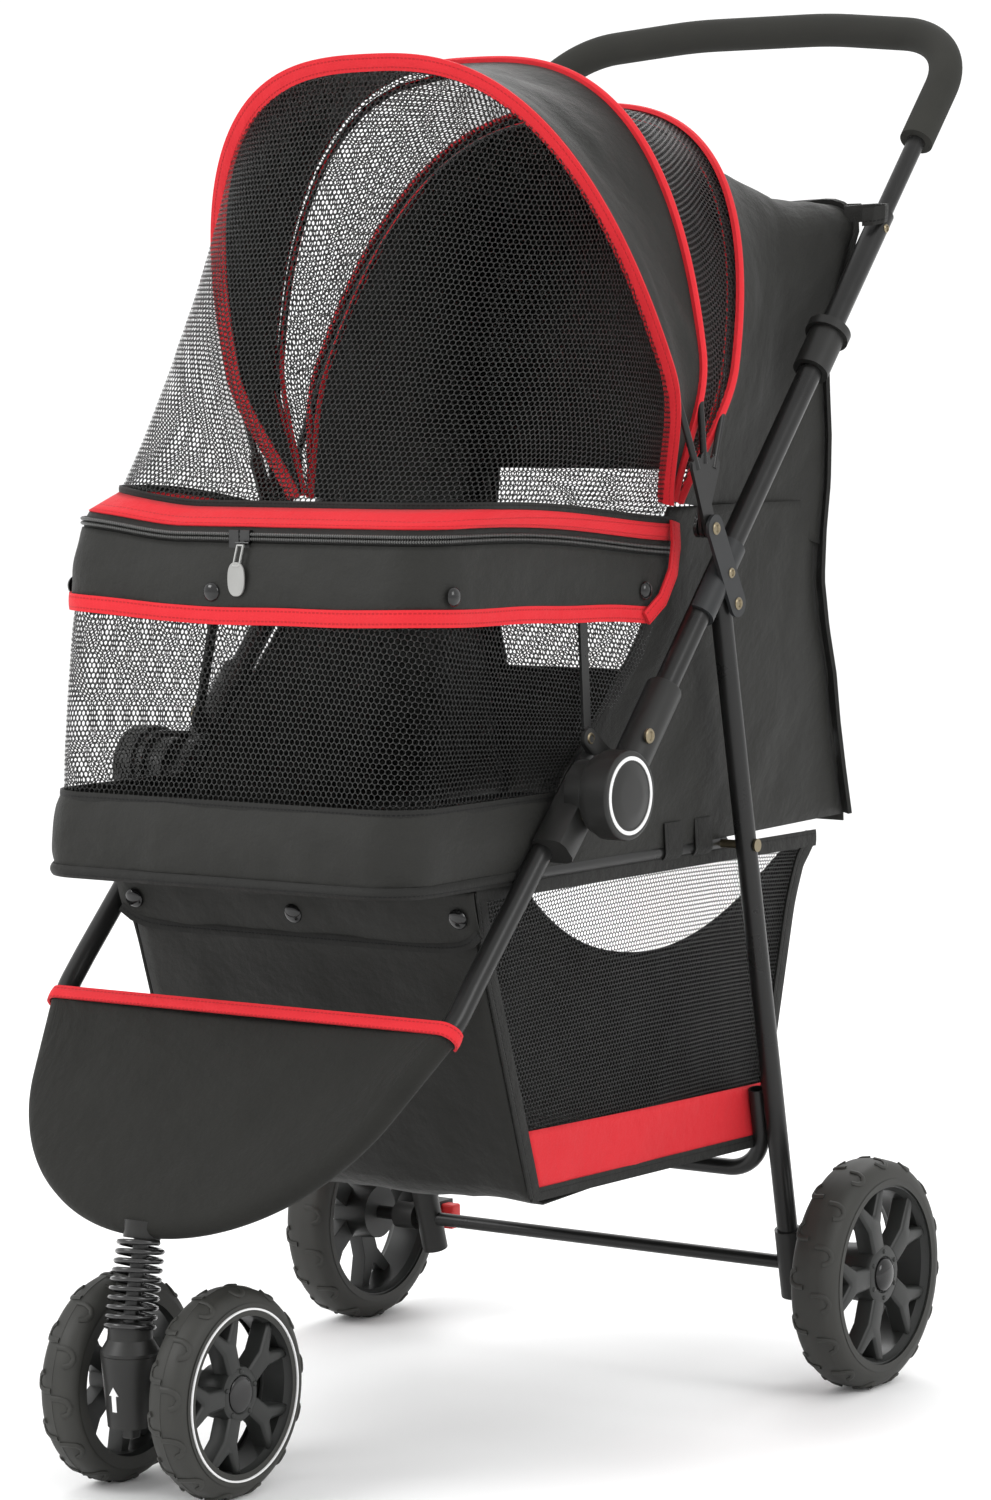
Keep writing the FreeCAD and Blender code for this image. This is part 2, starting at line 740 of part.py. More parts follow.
def wheel(centre, sign, radius, width, rim_r, hub_r, axle_r):
    """Tyre and spoked rim round an axle along X; sign is the outer side."""
    half = width / 2.0
    crown = radius - 1.2
    tyre = revolve(centre, [
        (-half + 3, rim_r), (half - 3, rim_r), (half, rim_r + 3), (half, radius - tyre_shoulder),
        (half - tyre_shoulder * 0.6, crown), (half - tyre_shoulder, radius), (tyre_shoulder - half, radius),
        (tyre_shoulder * 0.6 - half, crown), (-half, radius - tyre_shoulder), (-half, rim_r + 3)])
    ring = revolve(centre, [
        (-half + rim_lip, rim_r), (half - rim_lip, rim_r), (half - rim_lip, rim_r - rim_wall),
        (-half + rim_lip, rim_r - rim_wall)])
    hub_solid = rod(centre - Vector(half - rim_lip, 0, 0), centre + Vector(half - rim_lip, 0, 0), hub_r)
    spokes = [spoke(centre, sign, half, rim_r, hub_r, i * 360.0 / spoke_count) for i in range(spoke_count)]
    rim = ring.multiFuse([hub_solid] + spokes)
    bore = rod(centre - Vector(half + 1, 0, 0), centre + Vector(half + 1, 0, 0), axle_r + pin_clearance)
    return tyre, rim.cut(bore).removeSplitter()


def revolve(centre, profile):
    points = [centre + Vector(x, 0, r) for x, r in profile]
    face = Part.Face(Part.makePolygon(points + points[:1]))
    return face.revolve(centre, Vector(1, 0, 0), 360)


def spoke(centre, sign, half, rim_r, hub_r, turn):
    outer = half - rim_lip - 3.0
    x0 = min(sign * outer, sign * (outer - spoke_t))
    bar = Part.makeBox(spoke_t, spoke_w, rim_r - rim_wall - hub_r + 4,
                       centre + Vector(x0, -spoke_w / 2, hub_r - 2))
    bar.rotate(centre, Vector(1, 0, 0), turn)
    return bar


def make_wheels():
    sides = (("left", -1), ("right", 1))
    for name, sign in sides:
        tyre, rim = wheel(at(sign * rear_wheel_x, 0, rear_wheel_r), sign, rear_wheel_r, rear_tyre_w,
                          rear_rim_r, rear_hub_r, rear_axle_r)
        save("rear_tyre_" + name, tyre)
        save("rear_rim_" + name, rim)
        tyre, rim = wheel(at(sign * front_wheel_x, front_wheel_y, front_wheel_r), sign, front_wheel_r,
                          front_tyre_w, front_rim_r, front_hub_r, front_axle_r)
        save("front_tyre_" + name, tyre)
        save("front_rim_" + name, rim)


def leg_point(z):
    """Point on the right leg's axis at a height above the floor."""
    share = (leg_pivot.z - z) / (leg_pivot.z - axle.z)
    return moved_x(leg_pivot + (axle - leg_pivot) * share, leg_x + (axle_bracket_x - leg_x) * share)


def make_rear_frame():
    along = (leg_point(axle.z) - leg_point(leg_pivot.z)).normalize()
    foot = leg_point(axle.z)
    end = foot - along * (rear_axle_r + 1.5)
    leg = pipe(leg_point(leg_pivot.z) - along * leg_top, end, leg_r, leg_wall)
    for centre in (leg_pivot, rail_rear):
        x = leg_point(centre.z).x
        leg = leg.cut(rod(moved_x(centre, x - leg_r - 2), moved_x(centre, x + leg_r + 2),
                          pivot_pin_r + pin_clearance))
    save("rear_legs", *both_sides(leg))
    body = rod(foot - along * axle_bracket_above, foot + along * axle_bracket_below, axle_bracket_r)
    body = body.cut(rod(foot - along * (axle_bracket_above + 1), end, leg_r))
    body = body.cut(rod(moved_x(axle, foot.x - 20), moved_x(axle, foot.x + 20), rear_axle_r))
    save("axle_brackets", *both_sides(body.removeSplitter()))
    reach = rear_wheel_x + rear_tyre_w / 2.0 - axle_reach
    save("rear_axle", rod(moved_x(axle, -reach), moved_x(axle, reach), rear_axle_r))
    make_cross_bar()


def make_cross_bar():
    """Tube between the legs with its ends bent up along their inner sides."""
    beside = Vector(leg_r + bar_r, 0, 0)
    base = leg_point(bar_z) - beside
    top = leg_point(bar_z + bar_end_rise) - beside
    points = [top, base, Vector(-base.x, base.y, base.z), Vector(-top.x, top.y, top.z)]
    save("cross_bar", bent_pipe(path(points, [bar_corner_r, bar_corner_r]), bar_r, bar_wall))


def make_brakes():
    x0 = axle_bracket_x + axle_bracket_r + pedal_gap
    x1 = x0 + pedal_w
    ring = rod(moved_x(axle, x0), moved_x(axle, x1), pedal_hub_r)
    tongue = Part.makeBox(pedal_w, pedal_len, pedal_t, axle + Vector(x0, 4, 2))
    bore = rod(moved_x(axle, x0 - 1), moved_x(axle, x1 + 1), rear_axle_r + pin_clearance)
    pedal = ring.fuse(tongue).cut(bore).removeSplitter()
    save("brake_pedal_right", pedal)
    save("brake_pedal_left", mirrored(pedal))


def make_rails():
    x = rail_x
    tube = pipe(moved_x(rail_front, x) - Vector(0, 8, 0), moved_x(rail_rear, x) + Vector(0, 8, 0),
                rail_r, rail_wall)
    for centre in (rail_front, rail_rear):
        tube = tube.cut(rod(moved_x(centre, x - 8), moved_x(centre, x + 8), pivot_pin_r))
    save("side_rails", *both_sides(tube))
    front_pin = rod(moved_x(rail_front, x - rail_r), moved_x(rail_front, rail_pin_end()), pivot_pin_r)
    outer = leg_point(rail_rear.z).x + leg_r + 0.5
    rear_pin = rod(moved_x(rail_rear, x - rail_r), moved_x(rail_rear, outer), pivot_pin_r)
    head = rod(moved_x(rail_rear, outer), moved_x(rail_rear, outer + rivet_head_t), rivet_head_r)
    save("rail_pins", *both_sides(front_pin), *both_sides(rear_pin.fuse(head)))
    board = Part.makeBox(2 * board_half, board_rear - board_front, board_t,
                         at(-board_half, board_front, board_z))
    save("floor_board", board)


def rail_pin_end():
    return front_tube_x - lower_sleeve_r - pin_clearance


def make_cabin():
    save("cabin_front", u_wall(cabin_front_bottom_z, zip_z - soft_gap))
    save("front_flap", u_wall(zip_z - flap_h, zip_z - soft_gap, -(flap_t + soft_gap)))
    save("zipper_track", u_wall(zip_z, zip_z + zip_h))
    panel = [
        at(0, cabin_split_y, side_bottom_z), at(0, rear_bottom_y, rear_bottom_z),
        at(0, rear_row_y(side_top_z), side_top_z), at(0, side_shoulder_y, side_shoulder_z),
        at(0, side_waist_y, side_waist_z), at(0, cabin_split_y, side_front_z),
    ]
    for name, x in (("left", -cabin_half), ("right", cabin_half - wall_t)):
        save("cabin_side_" + name, plate(panel, x, x + wall_t))
    inner = cabin_half - wall_t - soft_gap
    rear = [
        at(0, rear_bottom_y, rear_bottom_z), at(0, rear_bottom_y - wall_t, rear_bottom_z),
        at(0, rear_top_y - wall_t, rear_top_z), at(0, rear_top_y, rear_top_z),
    ]
    panel = plate(rear, -inner, inner)
    corners = [e for e in panel.Edges
               if abs(e.CenterOfMass.x) > inner - 0.1 and e.CenterOfMass.z > rear_top_z - wall_t
               and e.Length < 2 * wall_t]
    save("cabin_rear", panel.makeFillet(rear_panel_corner_r, corners))


def make_zipper():
    y = cabin_front_top_y - soft_gap - slider_t
    z = zip_z + slider_clear
    for name, x in (("left", -slider_spacing / 2.0), ("right", slider_spacing / 2.0)):
        body = Part.makeBox(slider_w, slider_t, slider_h, at(x - slider_w / 2, y, z))
        if name == "right":
            body = body.fuse(pull_pivot(x, y))
        save("zipper_slider_" + name, body)
    x = slider_spacing / 2.0
    top = pull_centre(x, y)
    pull = Part.makeBox(pull_w, pull_t, pull_len,
                        Vector(x - pull_w / 2, top.y - pull_t / 2, top.z - 4 - pull_len))
    for side in (-1, 1):
        eye_x = x + side * (pull_w / 2 - pull_eye_w / 2)
        corner = Vector(eye_x - pull_eye_w / 2, top.y - pull_t / 2, top.z - 5)
        arm = Part.makeBox(pull_eye_w, pull_t, 5, corner)
        eye = rod(moved_x(top, eye_x - pull_eye_w / 2), moved_x(top, eye_x + pull_eye_w / 2), pull_eye_r)
        pull = pull.fuse(arm).fuse(eye)
    hole = rod(moved_x(top, x - pull_w), moved_x(top, x + pull_w), pull_pin_r + pin_clearance)
    save("zipper_pull", pull.cut(hole).removeSplitter())


def pull_centre(x, y):
    return at(x, y - 2.4, zip_z + zip_h / 2.0)


def pull_pivot(x, y):
    centre = pull_centre(x, y)
    stub = Part.makeBox(3.6, 2.6, 2.6, at(x - 1.8, y - 2.6, zip_z + zip_h / 2.0 - 1.3))
    return stub.fuse(rod(centre - Vector(pull_w / 2, 0, 0), centre + Vector(pull_w / 2, 0, 0), pull_pin_r))


def make_bows():
    for index, name in enumerate(("front_bow", "middle_bow", "rear_bow")):
        foot = bow_pivot + Vector(bow_foot_x(index), 0, 0)
        arm_end = foot + bow_lean_dir(index) * bow_arm_len
        points = [arm_end - bow_lean_dir(index) * bow_insert]
        points += [bow_point(index, t) for t in bow_turns(bow_steps)]
        points.append(Vector(-points[0].x, points[0].y, points[0].z))
        hoop = sweep(path(points, smooth_radii(points)), bow_r)
        save(name, hoop.multiFuse(both_sides(bow_arm(index, foot))).removeSplitter())


def smooth_radii(points):
    """Largest arc at each corner that leaves both runs a straight middle."""
    radii = []
    for before, corner, after in zip(points, points[1:], points[2:]):
        run = min((before - corner).Length, (after - corner).Length)
        half_turn = (math.pi - (before - corner).getAngle(after - corner)) / 2.0
        radii.append(0.45 * run / math.tan(half_turn))
    return radii


def bow_arm(index, foot):
    x0 = foot.x - bow_arm_t / 2.0
    x1 = foot.x + bow_arm_t / 2.0
    tip = foot + bow_lean_dir(index) * bow_arm_len
    arm = rounded_plate([foot, tip], bow_arm_w / 2.0, x0, x1)
    return arm.cut(rod(moved_x(foot, x0 - 1), moved_x(foot, x1 + 1), pivot_pin_r + pin_clearance))


def arch(index, extra, shift_y=0.0, steps=16):
    return [bow_point(index, t, extra) + Vector(0, shift_y, 0) for t in bow_turns(steps)]


def make_covers():
    inner = bow_gap
    outer = bow_gap + wall_t
    for name, a, b in (("canopy_front_cover", 0, 1), ("canopy_mesh_cover", 1, 2)):
        save(name, thin_solid(arch(a, outer, cover_split), arch(a, inner, cover_split),
                              arch(b, outer, -cover_split), arch(b, inner, -cover_split)))
    rear = thin_solid(arch(2, outer, cover_split), arch(2, inner, cover_split), rear_edge(wall_t),
                      rear_edge(0.0))
    beside = rod(on_slope(side_tube_x, side_tube_top), on_slope(side_tube_x, side_tube_end()),
                 side_tube_r + soft_gap)
    save("canopy_rear_cover", rear.cut(beside).cut(mirrored(beside)))
    shift = -(bow_r + soft_gap) / math.cos(math.radians(bow_leans[0]))
    outer, inner = arch(0, wall_t, shift), arch(0, 0.0, shift)
    save("canopy_dome", thin_solid(outer, inner, rail_edge(wall_t), rail_edge(0.0)))


def rear_edge(extra):
    """Top edge of the rear panel, with its ends folded down the side panels."""
    half = cabin_half + cover_clear + extra
    top = rear_top_z + soft_gap + cover_rise + extra
    return rounded_row(half, top, cover_low_z, cover_corner_r, lambda x, z: at(x, rear_row_y(z), z), 48)


def rear_row_y(z):
    return (z - rear_bottom_z) / (rear_top_z - rear_bottom_z) * (rear_top_y - rear_bottom_y) + rear_bottom_y


def rounded_row(half, top, low, radius, place, steps=16):
    """Evenly spaced points along an upside-down U of the given half width and height."""
    side = top - low - radius
    bend = radius * math.pi / 2.0
    flat = 2 * (half - radius)
    total = 2 * side + 2 * bend + flat
    points = []
    for i in range(steps + 1):
        run = total * i / steps
        mirrored_run = min(run, total - run)
        sign = 1 if run <= total / 2 else -1
        if mirrored_run < side:
            x, z = half, low + mirrored_run
        elif mirrored_run < side + bend:
            turn = (mirrored_run - side) / radius
            x = half - radius + radius * math.cos(turn)
            z = top - radius + radius * math.sin(turn)
        else:
            x, z = half - radius - (mirrored_run - side - bend), top
        points.append(place(sign * x, z))
    return points


def rail_edge(extra):
    """Outline just above the front rail, from the right bow foot round the front to the left one."""
    z = front_rail_z + front_rail_r + soft_gap + cover_rise
    half = front_rail_half + extra
    low = -(bow_pivot.y - rear_axle_y) + 10.0
    top = -front_rail_y + extra
    return rounded_row(half, top, low, front_rail_corner_r, lambda x, y: at(x, -y, z))


def make_basket():
    side_x = rail_x - basket_inset
    top_z = rail_front.z - math.sqrt((rail_r + basket_top_gap) ** 2 - basket_inset ** 2)
    front = [at(0, basket_front_top_y, top_z), at(0, basket_front_bottom_y, basket_floor_z)]
    rear = [at(0, basket_rear_top_y, top_z), at(0, basket_rear_bottom_y, basket_floor_z)]
    for name, ends, shift in (("basket_front", front, basket_t), ("basket_rear", rear, -basket_t)):
        ring = [ends[0], ends[1], ends[1] + Vector(0, shift, 0), ends[0] + Vector(0, shift, 0)]
        save(name, plate(ring, -side_x + basket_t + soft_gap, side_x - basket_t - soft_gap))
    side = plate([front[0], rear[0], rear[1], front[1]], side_x - basket_t, side_x)
    save("basket_sides", *both_sides(side))
    inner = side_x - basket_t - soft_gap
    front_y = basket_front_bottom_y + basket_t + soft_gap
    rear_y = basket_rear_bottom_y - basket_t - soft_gap
    floor = Part.makeBox(2 * inner, rear_y - front_y, basket_t, at(-inner, front_y, basket_floor_z))
    save("basket_floor", floor)


def build():
    make_handle()
    make_upper_hub()
    make_brackets()
    make_upper_pins()
    make_front_rail()
    make_stays()
    make_latches()
    loop_wire = make_front_tube()
    make_lower_hub()
    socket_mouth = make_socket_and_stem(loop_wire)
    make_spring(socket_mouth)
    make_front_panel()
    make_caster()
    make_wheels()
    make_rear_frame()
    make_brakes()
    make_rails()
    make_cabin()
    make_zipper()
    make_bows()
    make_covers()
    make_basket()


build()
os.makedirs("parts", exist_ok=True)
for node_name, node_shape in nodes.items():
    node_shape.exportStep("parts/" + node_name + ".step")
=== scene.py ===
import json
import math

import bpy
from mathutils import Matrix, Vector, noise


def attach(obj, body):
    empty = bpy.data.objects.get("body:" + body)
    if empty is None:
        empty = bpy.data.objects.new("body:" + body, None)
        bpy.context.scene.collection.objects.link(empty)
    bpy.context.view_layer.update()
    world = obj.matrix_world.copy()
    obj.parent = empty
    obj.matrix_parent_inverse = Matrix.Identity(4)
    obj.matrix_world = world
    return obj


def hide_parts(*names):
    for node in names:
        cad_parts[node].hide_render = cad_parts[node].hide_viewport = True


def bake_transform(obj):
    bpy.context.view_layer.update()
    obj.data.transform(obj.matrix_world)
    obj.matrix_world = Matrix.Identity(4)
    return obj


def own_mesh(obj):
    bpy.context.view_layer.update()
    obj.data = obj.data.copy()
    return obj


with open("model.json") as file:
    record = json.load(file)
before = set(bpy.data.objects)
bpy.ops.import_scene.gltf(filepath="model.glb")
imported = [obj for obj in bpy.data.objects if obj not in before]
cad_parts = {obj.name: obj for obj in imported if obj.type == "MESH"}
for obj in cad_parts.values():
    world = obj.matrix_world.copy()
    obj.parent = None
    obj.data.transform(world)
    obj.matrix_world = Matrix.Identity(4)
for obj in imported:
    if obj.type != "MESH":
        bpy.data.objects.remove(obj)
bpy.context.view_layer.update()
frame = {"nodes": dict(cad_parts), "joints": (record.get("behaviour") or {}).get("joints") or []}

print("stage: frame loaded")

# Places that every piece below starts from, read from the frame
jointPlace = {j["name"]: Vector(j["pos_m"]) for j in frame["joints"] if "pos_m" in j}
foldAxis = jointPlace["fold"]
bowPivot = jointPlace["canopy"]
legPivot = jointPlace["leg_fold"]
rearWheel = jointPlace["rear_wheel_right_spin"]
frontWheel = jointPlace["front_wheel_right_spin"]
sides = (("Right", 1), ("Left", -1))
mirror = Matrix.Scale(-1, 4, Vector((1, 0, 0)))


# small modelling helpers

def mix(a, b, share):
    return a + (b - a) * share


def ease(value):
    value = min(max(value, 0.0), 1.0)
    return value * value * (3 - 2 * value)


def lerpTable(table, value, pace=ease):
    # the second column at a value of the first
    if value <= table[0][0]:
        return table[0][1]
    for (a, x), (b, y) in zip(table, table[1:]):
        if value <= b:
            return mix(x, y, pace((value - a) / (b - a)))
    return table[-1][1]


def straightTable(table, value):
    return lerpTable(table, value, lambda share: share)


def squared(value, power):
    # a sine or cosine made squarer by a power below 1
    return math.copysign(abs(value) ** power, value)


def startPiece():
    if bpy.context.object and bpy.context.object.mode != "OBJECT":
        bpy.ops.object.mode_set(mode="OBJECT")
    bpy.ops.object.select_all(action="DESELECT")


def namePiece(name):
    piece = bpy.context.object
    piece.name = name
    piece.data.name = name
    return piece


def makeActive(piece):
    startPiece()
    piece.select_set(True)
    bpy.context.view_layer.objects.active = piece


def editAll(piece):
    makeActive(piece)
    bpy.ops.object.mode_set(mode="EDIT")
    bpy.ops.mesh.select_all(action="SELECT")


def leaveEdit():
    bpy.ops.object.mode_set(mode="OBJECT")


def applyModifiers(piece):
    makeActive(piece)
    for modifier in list(piece.modifiers):
        bpy.ops.object.modifier_apply(modifier=modifier.name)


def cleanNormals(piece):
    editAll(piece)
    bpy.ops.mesh.remove_doubles(threshold=0.00002)
    bpy.ops.mesh.normals_make_consistent(inside=False)
    leaveEdit()


def smooth(piece, angle=None):
    makeActive(piece)
    if angle is None:
        bpy.ops.object.shade_smooth()
    else:
        bpy.ops.object.shade_smooth_by_angle(angle=math.radians(angle))


def placeMesh(piece, matrix):
    piece.data.transform(matrix)
    piece.data.update()
    return piece


def copyPiece(piece, name, matrix=None):
    twin = piece.copy()
    twin.data = piece.data.copy()
    twin.name = name
    twin.data.name = name
    bpy.context.scene.collection.objects.link(twin)
    if matrix is not None:
        placeMesh(twin, matrix)
        if matrix.determinant() < 0:
            cleanNormals(twin)
    return twin


def joinPieces(name, pieces):
    makeActive(pieces[0])
    for piece in pieces[1:]:
        piece.select_set(True)
    bpy.ops.object.join()
    return namePiece(name)


def removePiece(piece):
    bpy.data.objects.remove(piece)


def bevelEdges(piece, width, segments, angle=30):
    modifier = piece.modifiers.new("Bevel", "BEVEL")
    modifier.width = width
    modifier.segments = segments
    modifier.limit_method = "ANGLE"
    modifier.angle_limit = math.radians(angle)
    applyModifiers(piece)


def thicken(piece, thickness, offset=0.0):
    modifier = piece.modifiers.new("Thickness", "SOLIDIFY")
    modifier.thickness = thickness
    modifier.offset = offset
    applyModifiers(piece)


def measureUv(piece, columns, rows):
    # UV in metres, measured along the sheet from its middle, so weaves keep their real scale
    mesh = piece.data
    places = [vertex.co.copy() for vertex in mesh.vertices]
    wide, tall = columns + 1, rows + 1
    across = [[0.0] * wide for _ in range(tall)]
    along = [[0.0] * wide for _ in range(tall)]
    middle = wide // 2
    for j in range(tall):
        for i in range(middle + 1, wide):
            step = (places[j * wide + i] - places[j * wide + i - 1]).length
            across[j][i] = across[j][i - 1] + step
        for i in range(middle - 1, -1, -1):
            step = (places[j * wide + i] - places[j * wide + i + 1]).length
            across[j][i] = across[j][i + 1] - step
    for i in range(wide):
        for j in range(1, tall):
            step = (places[j * wide + i] - places[(j - 1) * wide + i]).length
            along[j][i] = along[j - 1][i] + step
    layer = mesh.uv_layers.active or mesh.uv_layers.new(name="UVMap")
    for loop in mesh.loops:
        j, i = divmod(loop.vertex_index, wide)
        layer.data[loop.index].uv = (across[j][i], along[j][i])


def clothGrid(name, columns, rows, place):
    # a grid laid into shape row by row; place gives the point at u across and v along
    startPiece()
    bpy.ops.mesh.primitive_grid_add(x_subdivisions=columns, y_subdivisions=rows, size=2)
    sheet = namePiece(name)
    wide = columns + 1
    for vertex in sheet.data.vertices:
        j, i = divmod(vertex.index, wide)
        vertex.co = place(i / columns, j / rows)
    sheet.data.update()
    measureUv(sheet, columns, rows)
    smooth(sheet)
    return sheet


softFolds = {                         # depth, folds across and along per metre, seed and held edge
    "hoodFront": (0.004, 9, 26, 3.0, 0.2),
    "hoodNetPanel": (0.002, 9, 20, 7.0, 0.2),
    "hoodRear": (0.006, 8, 14, 11.0, 0.12),
    "cabinNet": (0.0025, 6, 6, 17.0, 0.15),
    "cabinBand": (0.0045, 14, 10, 23.0, 0.2),
    "cabinFlap": (0.003, 12, 10, 31.0, 0.25),
    "cabinSide": (0.0035, 16, 7, 41.0, 0.12),
    "cabinRear": (0.004, 8, 7, 53.0, 0.15),
    "domeNet": (0.002, 5, 5, 61.0, 0.15),
    "frontPanel": (0.002, 9, 9, 71.0, 0.2),
    "basketShell": (0.0045, 14, 9, 83.0, 0.12),
    "basketNet": (0.003, 10, 8, 91.0, 0.12),
    "basketBand": (0.0018, 18, 14, 97.0, 0.2),
    "basketFlap": (0.0025, 16, 12, 103.0, 0.2),
}


def wrinkle(sheet, columns, rows, kind, shift=0, last=1.0):
    # moves along the normal, held flat towards the sewn edges and past the last share of the rows
    depth, across, along, seed, hold = softFolds[kind]
    wide = columns + 1
    mesh = sheet.data
    layer = mesh.uv_layers.active.data
    uvOf = {}
    for loop in mesh.loops:
        uvOf[loop.vertex_index] = layer[loop.index].uv.copy()
    moves = []
    for vertex in mesh.vertices:
        j, i = divmod(vertex.index, wide)
        u, v = i / columns, j / rows
        edge = min(u, 1 - u, v, last - v) / hold
        uv = uvOf[vertex.index]
        spot = Vector((uv.x * across, uv.y * along, seed + shift))
        wave = noise.noise(spot) + 0.45 * noise.noise(spot * 2.3) + 0.2 * noise.noise(spot * 5.1)
        moves.append(vertex.normal * (wave * depth * ease(edge)))
    for vertex, move in zip(mesh.vertices, moves):
        vertex.co += move
    mesh.update()


def tape(name, line, side, outward, width, thick, steps, crown=0.25, ends=True):
    # a flat woven band: line, side and outward are functions of 0..1 along it
    profile = []
    facets = 6
    for k in range(facets + 1):
        x = -0.5 + k / facets
        profile.append((x, 0.5 + crown * (1 - 4 * x * x)))
    for k in range(facets + 1):
        x = 0.5 - k / facets
        profile.append((x * 0.94, -0.5))
    rows = len(profile)

    def place(u, v):
        x, z = profile[round(v * rows) % rows]
        return line(u) + side(u) * (x * width) + outward(u) * (z * thick)

    band = clothGrid(name, steps, rows, place)
    closeEnds(band, ends)
    smooth(band, 50)
    return band


def closeEnds(piece, ends=True):
    editAll(piece)
    bpy.ops.mesh.remove_doubles(threshold=0.000005)
    if ends:
        bpy.ops.mesh.select_all(action="DESELECT")
        bpy.ops.mesh.select_mode(type="EDGE")
        bpy.ops.mesh.select_non_manifold(extend=False, use_wire=True, use_boundary=True,
                                         use_multi_face=False, use_non_contiguous=False, use_verts=False)
        bpy.ops.mesh.edge_face_add()
    bpy.ops.mesh.select_mode(type="VERT")
    bpy.ops.mesh.select_all(action="SELECT")
    bpy.ops.mesh.normals_make_consistent(inside=False)
    leaveEdit()


def strip(name, line, outward, width, thick, steps, crown=0.25, ends=True):
    # a tape whose side direction follows from its line and its outward direction
    def side(u):
        return heading(line, u).cross(outward(u)).normalized()

    return tape(name, line, side, outward, width, thick, steps, crown, ends)


def polyline(points):
    # function along a chain of points, at an even pace
    lengths = [0.0]
    for a, b in zip(points, points[1:]):
        lengths.append(lengths[-1] + (b - a).length)
    total = lengths[-1]

    def at(u):
        run = min(max(u, 0.0), 1.0) * total
        for k in range(1, len(points)):
            if run <= lengths[k] or k == len(points) - 1:
                span = lengths[k] - lengths[k - 1] or 1.0
                return mix(points[k - 1], points[k], (run - lengths[k - 1]) / span)
        return points[-1]

    return at


def heading(line, u, step=0.004):
    return (line(min(u + step, 1)) - line(max(u - step, 0))).normalized()


def lathe(name, profile, steps, centre=Vector((0, 0, 0))):
    # ring turned from a closed profile of (along the axle, radius) pairs
    startPiece()
    bpy.ops.mesh.primitive_circle_add(vertices=len(profile), radius=1, fill_type="NOTHING")
    ring = namePiece(name)
    for vertex, (along, radius) in zip(ring.data.vertices, profile):
        vertex.co = Vector((along, 0, radius))
    editAll(ring)
    bpy.ops.mesh.spin(steps=steps, angle=2 * math.pi, center=(0, 0, 0), axis=(1, 0, 0))
    leaveEdit()
    cleanNormals(ring)
    placeMesh(ring, Matrix.Translation(centre))
    return ring


def plate(name, outline, depth):
    # flat plate: an outline of points pushed through by a vector
    startPiece()
    bpy.ops.mesh.primitive_circle_add(vertices=len(outline), fill_type="NGON")
    piece = namePiece(name)
    for vertex, point in zip(piece.data.vertices, outline):
        vertex.co = point
    editAll(piece)
    bpy.ops.mesh.extrude_region_move(TRANSFORM_OT_translate={"value": depth})
    bpy.ops.mesh.select_all(action="SELECT")
    bpy.ops.mesh.normals_make_consistent(inside=False)
    leaveEdit()
    return piece


def button(name, place, outward, radius, height):
    # domed snap or rivet head that stands on a surface
    startPiece()
    bpy.ops.mesh.primitive_uv_sphere_add(segments=20, ring_count=12, radius=radius)
    head = namePiece(name)
    editAll(head)
    bpy.ops.transform.resize(value=(1, 1, height / radius))
    bpy.ops.mesh.bisect(plane_co=(0, 0, 0), plane_no=(0, 0, 1), clear_inner=True, use_fill=True)
    leaveEdit()
    turn = Vector((0, 0, 1)).rotation_difference(outward.normalized()).to_matrix().to_4x4()
    placeMesh(head, Matrix.Translation(place) @ turn)
    smooth(head, 60)
    return head


# materials

def newGroup(name, outputs, **inputs):
    # shader group with a Vector and named floats in, and named floats out
    group = bpy.data.node_groups.new(name, "ShaderNodeTree")
    group.interface.new_socket(name="Vector", in_out="INPUT", socket_type="NodeSocketVector")
    for label, value in inputs.items():
        socket = group.interface.new_socket(name=label, in_out="INPUT", socket_type="NodeSocketFloat")
        socket.default_value = value
    for label in outputs:
        group.interface.new_socket(name=label, in_out="OUTPUT", socket_type="NodeSocketFloat")
    return group, group.nodes.new("NodeGroupInput").outputs, group.nodes.new("NodeGroupOutput")


def feed(tree, node, *values):
    # each value is a number, a tuple or another node's output
    for socket, value in zip(node.inputs, values):
        if isinstance(value, bpy.types.NodeSocket):
            tree.links.new(value, socket)
        elif value is not None:
            socket.default_value = value


def mathNode(tree, operation, a, b=None):
    node = tree.nodes.new("ShaderNodeMath")
    node.operation = operation
    feed(tree, node, a, b)
    return node.outputs[0]


def vectorNode(tree, operation, a, b=None, output=0):
    node = tree.nodes.new("ShaderNodeVectorMath")
    node.operation = operation
    feed(tree, node, a, b)
    return node.outputs[output]


def combine(tree, x, y, z):
    node = tree.nodes.new("ShaderNodeCombineXYZ")
    feed(tree, node, x, y, z)
    return node.outputs[0]


def rangeNode(tree, value, low, high, toLow=0.0, toHigh=1.0, soft=False):
    node = tree.nodes.new("ShaderNodeMapRange")
    node.interpolation_type = "SMOOTHSTEP" if soft else "LINEAR"
    feed(tree, node, value, low, high, toLow, toHigh)
    return node.outputs[0]


def noiseNode(tree, vector, scale, detail=3.0, rough=0.5):
    node = tree.nodes.new("ShaderNodeTexNoise")
    tree.links.new(vector, node.inputs["Vector"])
    if isinstance(scale, bpy.types.NodeSocket):
        tree.links.new(scale, node.inputs["Scale"])
    else:
        node.inputs["Scale"].default_value = scale
    node.inputs["Detail"].default_value = detail
    node.inputs["Roughness"].default_value = rough
    return node.outputs["Fac"]


